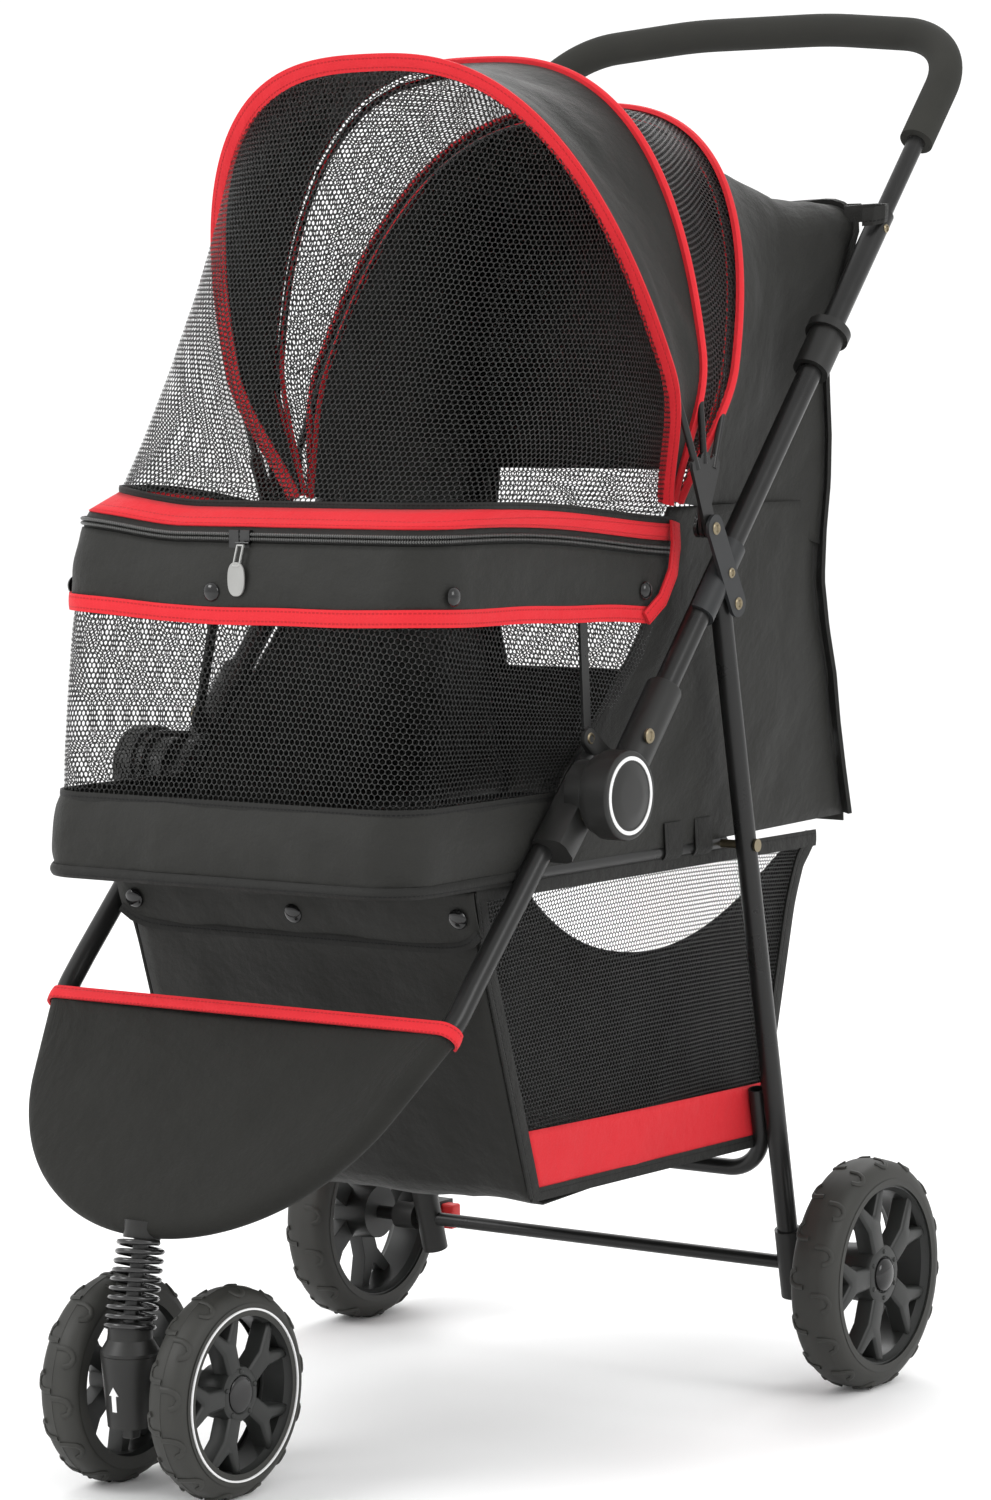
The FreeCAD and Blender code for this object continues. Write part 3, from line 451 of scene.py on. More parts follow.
def makeNetGroup():
    # hexagonal net: round holes on a staggered lattice, between knitted threads
    group, given, out = newGroup("hexNet", ("Thread", "Height"), Pitch=0.004, Hole=0.4)
    stretch = combine(group, 1.0, 1 / math.sqrt(3), 1.0)
    cells = vectorNode(group, "DIVIDE", vectorNode(group, "MULTIPLY", given["Vector"], stretch),
                       combine(group, given["Pitch"], given["Pitch"], 1.0))
    distances = []
    for shift in ((0.0, 0.0, 0.0), (0.5, 0.5, 0.0)):
        cell = vectorNode(group, "FRACTION", vectorNode(group, "ADD", cells, shift))
        fromMiddle = vectorNode(group, "SUBTRACT", cell, (0.5, 0.5, 0.0))
        flat = vectorNode(group, "MULTIPLY", fromMiddle, (1.0, math.sqrt(3), 0.0))
        distances.append(vectorNode(group, "LENGTH", flat, output=1))
    nearest = mathNode(group, "MINIMUM", distances[0], distances[1])
    rim = mathNode(group, "ADD", given["Hole"], 0.07)
    thread = rangeNode(group, nearest, given["Hole"], rim, soft=True)
    group.links.new(thread, out.inputs["Thread"])
    group.links.new(rangeNode(group, nearest, given["Hole"], 0.55, soft=True), out.inputs["Height"])
    return group


def makeWeaveGroup():
    # fine plain weave, with slow changes of shade where the cloth is rubbed or creased
    group, given, out = newGroup("plainWeave", ("Height", "Shade", "Crease"), Pitch=0.0009, Worn=0.3)
    split = group.nodes.new("ShaderNodeSeparateXYZ")
    group.links.new(given["Vector"], split.inputs[0])
    waves = []
    for socket in split.outputs[:2]:
        turns = mathNode(group, "DIVIDE", socket, given["Pitch"])
        waves.append(mathNode(group, "SINE", mathNode(group, "MULTIPLY", turns, 2 * math.pi)))
    height = mathNode(group, "MULTIPLY", waves[0], waves[1])
    cloud = noiseNode(group, given["Vector"], 22.0, 5.0, 0.6)
    fuzz = noiseNode(group, given["Vector"], 900.0, 2.0)
    shade = mathNode(group, "ADD", mathNode(group, "MULTIPLY", cloud, given["Worn"]),
                     mathNode(group, "MULTIPLY", fuzz, 0.35))
    crease = noiseNode(group, given["Vector"], 45.0, 4.0, 0.55)
    group.links.new(height, out.inputs["Height"])
    group.links.new(shade, out.inputs["Shade"])
    group.links.new(crease, out.inputs["Crease"])
    return group


def makeGrainGroup():
    # fine grain of moulded or coated surfaces, and a slow mottle for handling marks
    group, given, out = newGroup("surfaceGrain", ("Height", "Mottle"), Scale=900.0)
    group.links.new(noiseNode(group, given["Vector"], given["Scale"], 3.0), out.inputs["Height"])
    group.links.new(noiseNode(group, given["Vector"], 30.0, 4.0, 0.6), out.inputs["Mottle"])
    return group


def makeStitchGroup():
    # one row of running stitches at a place across a band
    group, given, out = newGroup("stitchRow", ("Thread",), Row=0.003, Length=0.0032)
    split = group.nodes.new("ShaderNodeSeparateXYZ")
    group.links.new(given["Vector"], split.inputs[0])
    away = mathNode(group, "ABSOLUTE", mathNode(group, "SUBTRACT", split.outputs[1], given["Row"]))
    near = rangeNode(group, away, 0.0003, 0.0006, 1.0, 0.0)
    phase = mathNode(group, "FRACT", mathNode(group, "DIVIDE", split.outputs[0], given["Length"]))
    dash = mathNode(group, "LESS_THAN", phase, 0.68)
    group.links.new(mathNode(group, "MULTIPLY", near, dash), out.inputs["Thread"])
    return group


netGroup = makeNetGroup()
weaveGroup = makeWeaveGroup()
grainGroup = makeGrainGroup()
stitchGroup = makeStitchGroup()


def newMaterial(name):
    material = bpy.data.materials.new(name)
    material.use_nodes = True
    tree = material.node_tree
    shader = tree.nodes["Principled BSDF"]
    return material, tree, shader


def groupNode(tree, group, vector, **values):
    node = tree.nodes.new("ShaderNodeGroup")
    node.node_tree = group
    tree.links.new(vector, node.inputs["Vector"])
    for label, value in values.items():
        node.inputs[label].default_value = value
    return node


def colourMix(tree, share, dark, light):
    node = tree.nodes.new("ShaderNodeMix")
    node.data_type = "RGBA"
    tree.links.new(share, node.inputs[0])
    for socket, value in ((node.inputs[6], dark), (node.inputs[7], light)):
        if isinstance(value, bpy.types.NodeSocket):
            tree.links.new(value, socket)
        else:
            socket.default_value = (*value, 1.0)
    return node.outputs[2]


def bump(tree, shader, height, strength, distance):
    node = tree.nodes.new("ShaderNodeBump")
    node.inputs["Strength"].default_value = strength
    node.inputs["Distance"].default_value = distance
    tree.links.new(height, node.inputs["Height"])
    tree.links.new(node.outputs[0], shader.inputs["Normal"])


def coordinates(tree, kind="Object"):
    return tree.nodes.new("ShaderNodeTexCoord").outputs[kind]


def setShader(shader, **values):
    for label, value in values.items():
        shader.inputs[label.replace("_", " ")].default_value = value


def clothMaterial(name, dark, light, rough=0.62, stitch=(), stitchColour=None, uv=True):
    # stitch lists the places of one or two rows across a band
    material, tree, shader = newMaterial(name)
    vector = coordinates(tree, "UV" if uv else "Object")
    weave = groupNode(tree, weaveGroup, vector)
    colour = colourMix(tree, weave.outputs["Shade"], dark, light)
    height = mathNode(tree, "ADD", mathNode(tree, "MULTIPLY", weave.outputs["Height"], 0.12),
                      mathNode(tree, "MULTIPLY", weave.outputs["Crease"], 7.2))
    if stitch:
        rows = [groupNode(tree, stitchGroup, vector, Row=row).outputs["Thread"] for row in stitch]
        thread = rows[0] if len(rows) == 1 else mathNode(tree, "MAXIMUM", rows[0], rows[1])
        colour = colourMix(tree, thread, colour, stitchColour)
        height = mathNode(tree, "SUBTRACT", height, mathNode(tree, "MULTIPLY", thread, 1.5))
    tree.links.new(colour, shader.inputs["Base Color"])
    tree.links.new(rangeNode(tree, weave.outputs["Shade"], 0.0, 0.6, rough + 0.08, rough - 0.08),
                   shader.inputs["Roughness"])
    setShader(shader, Sheen_Weight=0.05, Sheen_Roughness=0.4, Specular_IOR_Level=0.2)
    bump(tree, shader, height, 0.6, 0.0006)
    return material


def netMaterial(name, pitch, hole):
    material, tree, shader = newMaterial(name)
    net = groupNode(tree, netGroup, coordinates(tree, "UV"), Pitch=pitch, Hole=hole)
    # the threads are painted lighter on their crowns than at the hole edges: a painted highlight
    shade = colourMix(tree, net.outputs["Height"], (0.0072, 0.0072, 0.0069), (0.018, 0.018, 0.01725))
    tree.links.new(shade, shader.inputs["Base Color"])
    tree.links.new(net.outputs["Thread"], shader.inputs["Alpha"])
    setShader(shader, Roughness=0.42, Specular_IOR_Level=0.3)
    bump(tree, shader, net.outputs["Height"], 0.8, 0.0006)
    return material


def coatedMaterial(name, dark, light, rough, grain, depth, metallic=0.0, coat=0.0, specular=0.3):
    # paint, plastic, rubber or metal; depth is the grain's height in metres
    material, tree, shader = newMaterial(name)
    surface = groupNode(tree, grainGroup, coordinates(tree), Scale=grain)
    tree.links.new(colourMix(tree, surface.outputs["Mottle"], dark, light), shader.inputs["Base Color"])
    tree.links.new(rangeNode(tree, surface.outputs["Mottle"], 0.25, 0.75, rough - 0.06, rough + 0.08),
                   shader.inputs["Roughness"])
    setShader(shader, Metallic=metallic, Coat_Weight=coat, Specular_IOR_Level=specular)
    bump(tree, shader, surface.outputs["Height"], 0.5, depth)
    return material


def zipMaterial(name):
    # toothed coil between two woven tapes
    material, tree, shader = newMaterial(name)
    split = tree.nodes.new("ShaderNodeSeparateXYZ")
    tree.links.new(coordinates(tree, "UV"), split.inputs[0])
    tooth = mathNode(tree, "SINE", mathNode(tree, "MULTIPLY", split.outputs[0], 2 * math.pi / 0.0018))
    # each tooth's crest is painted light and the gap between teeth dark: painted highlight and painted shade
    shade = colourMix(tree, rangeNode(tree, tooth, -1.0, 1.0), (0.008, 0.008, 0.008), (0.11, 0.11, 0.105))
    tree.links.new(shade, shader.inputs["Base Color"])
    setShader(shader, Roughness=0.3)
    bump(tree, shader, tooth, 0.9, 0.0005)
    return material


blackDye, paleDye = (0.010, 0.010, 0.009), (0.030, 0.030, 0.027)
redDye, paleRed = (0.50, 0.012, 0.018), (0.76, 0.03, 0.042)
clothFinishes = {                     # darkest and lightest shade
    "blackCloth": dict(dark=blackDye, light=paleDye),
    "panelCloth": dict(dark=(0.009, 0.009, 0.008), light=(0.024, 0.024, 0.021), rough=0.8),
    "hemCloth": dict(dark=(0.007, 0.007, 0.0065), light=(0.022, 0.022, 0.020), stitch=(0.003,),
                     stitchColour=(0.003, 0.003, 0.003)),
    "redTape": dict(dark=redDye, light=paleRed, rough=0.7, stitch=(0.0025, 0.0092),
                    stitchColour=(0.42, 0.01, 0.015)),
    "redPiping": dict(dark=redDye, light=paleRed, rough=0.7),
    "redBand": dict(dark=(0.46, 0.012, 0.018), light=(0.70, 0.03, 0.04), rough=0.66),
    "matCloth": dict(dark=(0.012, 0.012, 0.011), light=(0.03, 0.03, 0.027), uv=False),
}
# spacing of the holes, and their radius as a share of it
netFinishes = {"frontNet": (0.0042, 0.4), "hoodNet": (0.0038, 0.37), "basketNet": (0.0034, 0.4)}
coatedFinishes = {                    # darkest and lightest shade, roughness, grain per metre and its depth
    "framePaint": ((0.006, 0.006, 0.006), (0.014, 0.014, 0.0135), 0.3, 1600.0, 0.00002),
    "bracketPaint": ((0.012, 0.013, 0.014), (0.022, 0.023, 0.024), 0.42, 1200.0, 0.00003),
    "springPaint": ((0.006, 0.006, 0.006), (0.012, 0.012, 0.012), 0.2, 1600.0, 0.00002),
    "plastic": ((0.010, 0.010, 0.0095), (0.019, 0.019, 0.018), 0.42, 1500.0, 0.00005),
    "glossCap": ((0.004, 0.004, 0.004), (0.01, 0.01, 0.01), 0.12, 500.0, 0.00001),
    "redPlastic": ((0.5, 0.02, 0.02), (0.65, 0.03, 0.03), 0.4, 1500.0, 0.00005),
    "foam": ((0.018, 0.018, 0.016), (0.034, 0.034, 0.03), 0.9, 2200.0, 0.0003),
    "tyreRubber": ((0.02, 0.02, 0.018), (0.038, 0.038, 0.034), 0.55, 1400.0, 0.00008),
    "rimPlastic": ((0.014, 0.015, 0.014), (0.026, 0.027, 0.026), 0.38, 1500.0, 0.00004),
    "whitePaint": ((0.62, 0.62, 0.62), (0.8, 0.8, 0.8), 0.45, 1500.0, 0.00004),
    "rivet": ((0.16, 0.13, 0.08), (0.34, 0.29, 0.2), 0.34, 1200.0, 0.00004),
    "darkSteel": ((0.03, 0.03, 0.03), (0.09, 0.09, 0.09), 0.3, 1200.0, 0.00003),
    "pullMetal": ((0.26, 0.26, 0.25), (0.4, 0.4, 0.39), 0.42, 1500.0, 0.00005),
}
gloss = {"springPaint": dict(coat=0.6), "glossCap": dict(coat=0.3), "foam": dict(specular=0.25),
         "rivet": dict(metallic=1.0), "darkSteel": dict(metallic=1.0), "pullMetal": dict(metallic=0.5)}
materials = {name: clothMaterial(name, **values) for name, values in clothFinishes.items()}
materials.update({name: netMaterial(name, *values) for name, values in netFinishes.items()})
for finish, values in coatedFinishes.items():
    materials[finish] = coatedMaterial(finish, *values, **gloss.get(finish, {}))
materials["zipCoil"] = zipMaterial("zipCoil")
print("stage: materials")


def dress(piece, material):
    piece.data.materials.clear()
    piece.data.materials.append(materials[material])
    return piece


def finishPiece(piece, material, body, slot, *replaced):
    # a piece with no body is left unattached
    dress(piece, material)
    if body:
        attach(piece, body)
    if replaced:
        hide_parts(*replaced)
    return piece


def finishSheet(sheet, thick, body, material, slot, replaced=(),
                clean=False):
    thicken(sheet, thick)
    if clean:
        cleanNormals(sheet)
    finishPiece(sheet, material, body, slot, *replaced)
    return sheet


def finishPair(piece, name, material, body, slot, *replaced):
    # the piece as it stands on the right, and its mirror image on the left
    finishPiece(copyPiece(piece, name + "Right"), material, body, slot, *replaced)
    finishPiece(copyPiece(piece, name + "Left", mirror), material, body, slot)
    removePiece(piece)


# carried-over nodes

nodeFinish = {
    "framePaint": ("front_tube", "side_tubes", "handle_tube", "rear_bow", "middle_bow", "front_bow",
                   "rear_legs", "rear_axle", "cross_bar", "side_rails"),
    "bracketPaint": ("hinge_brackets",),
    "plastic": ("hub_caps", "axle_brackets", "latch_left", "latch_right", "stem_cap", "swivel_housing",
                "swivel_lock", "brake_pedal_left", "brake_pedal_right"),
    "foam": ("handle_grip",),
    "rivet": ("rail_pins",),
    "darkSteel": ("caster_stem", "front_axle", "zipper_slider_left", "zipper_slider_right"),
}
for finish, names in nodeFinish.items():
    for nodeName in names:
        dress(frame["nodes"][nodeName], finish)
print("stage: frame nodes dressed")

# wheels

wheelSizes = {                        # bolts and hooks are counts, the rest lengths
    "rear": {"radius": 0.082, "width": 0.0365, "rim": 0.0648, "hub": 0.022, "cap": 0.0125, "dome": 0.005,
             "bolts": 6, "hooks": 15},
    "front": {"radius": 0.0691, "width": 0.03, "rim": 0.0552, "hub": 0.019, "cap": 0.012, "dome": 0.0012,
              "bolts": 5, "hooks": 13},
}
tread = {
    "shoulder": 0.0105, "wall": 0.018,
    # share of the way over the shoulder and turn, along one hooked bar
    "route": ((0.97, -0.85), (0.75, -0.85), (0.58, -0.6), (0.5, 0.0), (0.56, 0.6), (0.72, 0.85)),
    "hookHalf": 0.0072, "hookWidth": 0.0036, "hookRise": 0.0014,
}
spokeShape = {"count": 5, "firstTurn": 18, "thick": 0.012, "inset": 0.0021, "rise": 0.0016}


def tyreShoulder(size):
    half, radius = size["width"] / 2, size["radius"]
    bend = tread["shoulder"]
    points = [Vector((half, 0, radius - tread["wall"]))]
    for k in range(6):
        turn = math.radians(90 * k / 5)
        x = half - bend + bend * math.cos(turn)
        points.append(Vector((x, 0, radius - 0.0128 + 0.012 * math.sin(turn))))
    points.append(Vector((half - 0.0155, 0, radius - 0.0002)))
    return points


def makeTyre(name, size):
    half, rim = size["width"] / 2, size["rim"]
    outer = [(half - 0.003, rim), (half - 0.0002, rim + 0.0015), (half + 0.0004, rim + 0.004)]
    outer += [(point.x, point.z) for point in tyreShoulder(size)]
    outer.append((0, size["radius"]))
    profile = outer + [(-x, r) for x, r in reversed(outer[:-1])]
    tyre = lathe(name, profile, 96)
    surface = polyline(tyreShoulder(size))
    reach = tread["hookHalf"] / size["radius"]
    path = polyline([Matrix.Rotation(turn * reach, 3, "X") @ surface(share)
                     for share, turn in tread["route"]])
    core = Vector((0, 0, size["radius"] - 0.013))

    def outward(u):
        point = path(u)
        inner = Vector((half - 0.0125, 0, 0)) + Vector((0, point.y, point.z)).normalized() * core.z
        return (point - inner).normalized()

    hook = strip(name + "Hook", path, outward, tread["hookWidth"], tread["hookRise"], 14, 0.5)
    hooks = []
    flip = Matrix.Rotation(math.pi, 4, "Z")
    for k in range(size["hooks"]):
        # the other shoulder's hooks stand half a step further on
        near = Matrix.Rotation(2 * math.pi * k / size["hooks"], 4, "X")
        far = flip @ Matrix.Rotation(math.pi * (2 * k + 1) / size["hooks"], 4, "X")
        hooks += [copyPiece(hook, "hook", near), copyPiece(hook, "hook", far)]
    removePiece(hook)
    whole = joinPieces(name, [tyre] + hooks)
    smooth(whole, 40)
    return whole


def selectFaces(piece, test):
    makeActive(piece)
    bpy.ops.object.mode_set(mode="EDIT")
    bpy.ops.mesh.select_mode(type="FACE")
    bpy.ops.mesh.select_all(action="DESELECT")
    leaveEdit()
    for polygon in piece.data.polygons:
        polygon.select = test(polygon.center, polygon.normal)
    bpy.ops.object.mode_set(mode="EDIT")


def makeSpoke(size):
    # forked spoke: one bar at the hub that splits in two before the rim
    reach, face = size["rim"] - 0.0045, size["width"] / 2 - 0.0045
    half = [(size["hub"] - 0.004, 0.0078), (0.62 * reach, 0.0086), (reach, 0.0205), (reach, 0.0115),
            (0.78 * reach, 0.0008)]
    outline = half + [(r, -w) for r, w in reversed(half)]
    scale = size["rim"] / wheelSizes["rear"]["rim"]
    spoke = plate("spoke", [(face, w * scale, r) for r, w in outline], (-spokeShape["thick"], 0, 0))
    selectFaces(spoke, lambda centre, normal: normal.x > 0.9)
    bpy.ops.mesh.inset(thickness=spokeShape["inset"], depth=spokeShape["rise"])
    leaveEdit()
    bevelEdges(spoke, 0.0004, 1)
    return spoke


def makeRim(name, size):
    half, rim = size["width"] / 2, size["rim"]
    lip, floor = half - 0.0015, rim - 0.0048
    halfProfile = [(lip, rim), (lip, rim - 0.0022), (lip - 0.0022, rim - 0.003), (lip - 0.005, floor)]
    ring = lathe("ring", halfProfile + [(-x, r) for x, r in reversed(halfProfile)], 96)
    hubFace = half - 0.003
    hubProfile = [(-hubFace, 0), (-hubFace, size["hub"] - 0.002), (hubFace - 0.004, size["hub"]),
                  (hubFace - 0.001, size["hub"] - 0.0012), (hubFace, size["hub"] - 0.003),
                  (hubFace, size["cap"] + 0.001), (hubFace - 0.001, size["cap"]), (hubFace - 0.001, 0)]
    parts = [ring, lathe("hub", hubProfile, 60)]
    spoke = makeSpoke(size)
    for k in range(spokeShape["count"]):
        turn = math.radians(360 * k / spokeShape["count"] + spokeShape["firstTurn"])
        parts.append(copyPiece(spoke, "spoke", Matrix.Rotation(turn, 4, "X")))
    removePiece(spoke)
    boltRing = (size["hub"] + size["cap"]) / 2 - 0.0004
    for k in range(size["bolts"]):
        place = Matrix.Rotation(2 * math.pi * k / size["bolts"], 3, "X") @ Vector((hubFace, 0, boltRing))
        parts.append(button("bolt", place, Vector((1, 0, 0)), 0.0018, 0.0012))
    whole = joinPieces(name, parts)
    smooth(whole, 32)
    return whole


def makeCap(name, size):
    face, radius, dome = size["width"] / 2 - 0.004, size["cap"] - 0.0003, size["dome"]
    profile = [(face - 0.002, 0), (face - 0.002, radius), (face + 0.001, radius)]
    for k in range(1, 7):
        turn = math.radians(90 * k / 6)
        profile.append((face + 0.001 + dome * math.sin(turn), radius * math.cos(turn) if k < 6 else 0))
    cap = lathe(name, profile, 48)
    smooth(cap, 40)
    return cap


def makeWheels():
    for kind, hub in (("rear", rearWheel), ("front", frontWheel)):
        size = wheelSizes[kind]
        tyre, rim, cap = makeTyre("tyre", size), makeRim("rim", size), makeCap("cap", size)
        half = size["width"] / 2
        line = size["rim"] + 0.0004
        ring = lathe("ring", [(half - 0.001, line - 0.0008), (half + 0.0011, line - 0.0006),
                              (half + 0.0011, line + 0.0006), (half - 0.001, line + 0.0008)], 96)
        for side, sign in sides:
            place = Matrix.Translation(Vector((sign * hub.x, hub.y, hub.z)))
            if sign < 0:
                place = place @ Matrix.Rotation(math.pi, 4, "Z")
            body = f"{kind}_wheel_{side.lower()}"
            suffix = kind.capitalize() + side
            finishPiece(copyPiece(tyre, "tyre" + suffix, place), "tyreRubber", body, "tyre_black",
                        body.replace("wheel", "tyre"))
            finishPiece(copyPiece(rim, "rim" + suffix, place), "rimPlastic", body, "rim_black",
                        body.replace("wheel", "rim"))
            finishPiece(copyPiece(cap, "hubCap" + suffix, place), "glossCap", body, "rim_black")
            if kind == "front":
                finishPiece(copyPiece(ring, "ringLine" + suffix, place), "whitePaint", body, "rim_black")
        for piece in (tyre, rim, cap, ring):
            removePiece(piece)


makeWheels()
print("stage: wheels")

# fold hubs and frame fittings

fittings = {"drumFace": 0.2085, "ringOuter": 0.0262, "ringWidth": 0.0028, "ringRise": 0.0005}


def makeFittings():
    face, outer = fittings["drumFace"], fittings["ringOuter"]
    inner = outer - fittings["ringWidth"]
    profile = [(face - 0.0002, outer), (face + fittings["ringRise"], outer - 0.0002),
               (face + fittings["ringRise"], inner + 0.0002), (face - 0.0002, inner)]
    centre = Vector((0, foldAxis.y, foldAxis.z))
    ring = lathe("drumRing", profile, 72, centre)
    smooth(ring, 40)
    finishPair(ring, "drumRing", "whitePaint", "upper_frame", "plastic_black")
    profile = [(face, outer - 0.0045), (face + 0.0004, outer - 0.005), (face + 0.0012, 0.012),
               (face + 0.0014, 0), (face - 0.001, 0), (face - 0.001, outer - 0.0045)]
    dish = lathe("drumDish", profile, 72, centre)
    smooth(dish, 40)
    finishPair(dish, "drumDish", "plastic", "upper_frame", "plastic_black")


hubs = {
    "tubeSlope": 48.0, "lowerSlope": 45.5,           # degrees from the level
    "tubeBehind": 0.0187,                            # side tube's axis behind the fold axis
    "sleeveX": 0.1815, "sleeveR": 0.0128, "sleeveLow": 0.028, "sleeveTop": 0.105, "sleeveBore": 0.0086,
    "housingX": (0.1565, 0.1835), "housingHalf": 0.0124, "housingTop": 0.021, "housingEnd": 0.0505,
    "collarR": 0.027, "lowerCollarX": (0.170, 0.1845), "upperCollarX": (0.1850, 0.1918),
    "earRivet": (0.1668, -0.0972, 0.4811),
    "stayBend": (0.1545, -0.0885, 0.566), "stayTop": (0.1538, -0.0850, 0.592),
    "stayWidth": 0.0088, "stayThick": 0.0022,
    "lowerCollarR": 0.0225,
}
rivetHeads = (                        # name, body, place on the right side and radius
    ("bow", "upper_frame", (0.1926, bowPivot.y, bowPivot.z), 0.0044),
    ("leg", "upper_frame", (0.1926, legPivot.y, legPivot.z), 0.0044),
    ("bracket", "upper_frame", (0.1926, 0.0396, 0.5870), 0.0036),
    ("handle", "upper_frame", (0.1896, 0.2558, 0.8271), 0.0032),
    ("sleeve", "upper_frame", (0.193, -0.0652, 0.4819), 0.0052),
    ("ear", "upper_frame", hubs["earRivet"], 0.0042),
    ("housing", "front_frame", (0.1833, -0.1279, 0.4340), 0.0052),
)


def hullPiece(name, points, bevel=0.0):
    # the smallest closed shape round a set of points
    startPiece()
    bpy.ops.mesh.primitive_circle_add(vertices=len(points), fill_type="NOTHING")
    piece = namePiece(name)
    for vertex, point in zip(piece.data.vertices, points):
        vertex.co = point
    editAll(piece)
    bpy.ops.mesh.delete(type="ONLY_FACE")
    bpy.ops.mesh.select_all(action="SELECT")
    bpy.ops.mesh.convex_hull()
    leaveEdit()
    cleanNormals(piece)
    if bevel:
        bevelEdges(piece, bevel, 3, 40)
    return piece


def discPoints(centre, radius, x0, x1, steps=36):
    points = []
    for k in range(steps):
        turn = 2 * math.pi * k / steps
        y, z = centre[0] + radius * math.cos(turn), centre[1] + radius * math.sin(turn)
        points += [Vector((x, y, z)) for x in (x0, x1)]
    return points


def makeHubs():
    h = hubs
    axis = Vector((foldAxis.y, foldAxis.z))
    up = Vector((math.cos(math.radians(h["tubeSlope"])), math.sin(math.radians(h["tubeSlope"]))))
    behind = Vector((up.y, -up.x))
    down = Vector((-math.cos(math.radians(h["lowerSlope"])), -math.sin(math.radians(h["lowerSlope"]))))

    def onTube(run, x):
        spot = axis + up * run + behind * h["tubeBehind"]
        return Vector((x, spot.x, spot.y))

    # upper sleeve round the side tube, its collar at the hub and the ear that holds the stay
    low, top, radius = h["sleeveLow"], h["sleeveTop"], h["sleeveR"]
    profile = [(low, h["sleeveBore"]), (low, radius), (top - 0.002, radius), (top - 0.0005, radius - 0.0005),
               (top, radius - 0.0016), (top, h["sleeveBore"])]
    sleeve = lathe("sleeve", profile, 48)
    turn = Vector((1, 0, 0)).rotation_difference(Vector((0, up.x, up.y))).to_matrix().to_4x4()
    placeMesh(sleeve, Matrix.Translation(onTube(0, h["sleeveX"])) @ turn)
    neck = [onTube(low + 0.012, x) + Vector((0, behind.x, behind.y)) * (side * (radius - 0.002))
            for x in h["upperCollarX"] for side in (-1, 1)]
    collar = hullPiece("collar", discPoints(axis, h["collarR"], *h["upperCollarX"]) + neck, 0.0012)
    rivetPlace = Vector(h["earRivet"])
    root = onTube(0.036, 0)
    earX = (rivetPlace.x - 0.0035, rivetPlace.x)
    ear = hullPiece("ear", discPoints((rivetPlace.y, rivetPlace.z), 0.0072, *earX, 20)
                    + discPoints((root.y, root.z), 0.008, earX[0], earX[1] + 0.004, 20), 0.0008)
    upper = joinPieces("hubUpper", [sleeve, collar, ear])
    smooth(upper, 35)
    # lower housing round the front tube, rounded over at its top
    run = -h["housingTop"]
    points = []
    for k in range(12):
        corner = 2 * math.pi * k / 12 + math.pi / 12
        x = mix(*h["housingX"], 0.5 + 0.5 * squared(math.cos(corner), 0.6))
        across = h["housingHalf"] * squared(math.sin(corner), 0.6)
        side = Vector((down.y, -down.x))
        for reach, share in ((run, 0.62), (run + 0.006, 0.93), (run + 0.014, 1.0), (h["housingEnd"], 1.0)):
            spot = axis + down * reach + side * across * share
            middle = sum(h["housingX"]) / 2
            points.append(Vector((mix(middle, x, share), spot.x, spot.y)))
    housing = hullPiece("housing", points)
    lowerCollar = hullPiece("lowerCollar", discPoints(axis, h["lowerCollarR"], *h["lowerCollarX"]), 0.001)
    lower = joinPieces("hubLower", [housing, lowerCollar])
    smooth(lower, 32)
    finishPair(upper, "hubUpper", "plastic", "upper_frame", "plastic_black", "hub_upper_sleeves")
    finishPair(lower, "hubLower", "plastic", "front_frame", "plastic_black", "hub_lower_sleeves")
    # flat stay from the ear up to the rail
    foot, head = rivetPlace - Vector((0.0018, 0.0015, 0.0035)), Vector(h["stayTop"])
    bend = Vector(h["stayBend"])
    line = polyline([foot, mix(foot, bend, 0.5), bend, head])
    stay = strip("railStay", line, lambda u: Vector((1, 0, 0)), h["stayWidth"], h["stayThick"], 16, 0.0)
    finishPair(stay, "railStay", "framePaint", "upper_frame", "frame_black", "rail_stays")


def makeRivetHeads():
    # brass heads with a dished eye
    for label, body, place, radius in rivetHeads:
        profile = [(-0.001, 0.0), (-0.001, radius), (0.0006, radius), (0.0013, radius - 0.0007),
                   (0.0013, radius * 0.62), (0.0004, radius * 0.5), (0.0007, 0.0)]
        head = lathe("head", profile, 28, Vector(place))
        smooth(head, 35)
        replaced = ["upper_pins"] if label == "bow" else []
        finishPair(head, label + "Rivet", "rivet", body, "rivet_brass", *replaced)


caster = {
    "loopEnd": Vector((0, -0.3678, 0.1785)), "along": Vector((0, -0.2300, -0.9732)),
    "coilTop": 0.0105, "coilLength": 0.059, "coilTurns": 9.8, "coilRadius": 0.0142, "coilLowRadius": 0.0158,
    "wire": 0.0018,
}


def wirePiece(name, line, across, radius, steps):
    # round wire along a line; across gives the first of its two section directions
    def place(u, v):
        ahead = heading(line, u, 0.002)
        first = (across(u) - ahead * across(u).dot(ahead)).normalized()
        turn = 2 * math.pi * v
        return line(u) + (first * math.cos(turn) + ahead.cross(first) * math.sin(turn)) * radius

    wire = clothGrid(name, steps, 8, place)
    closeEnds(wire)
    return wire


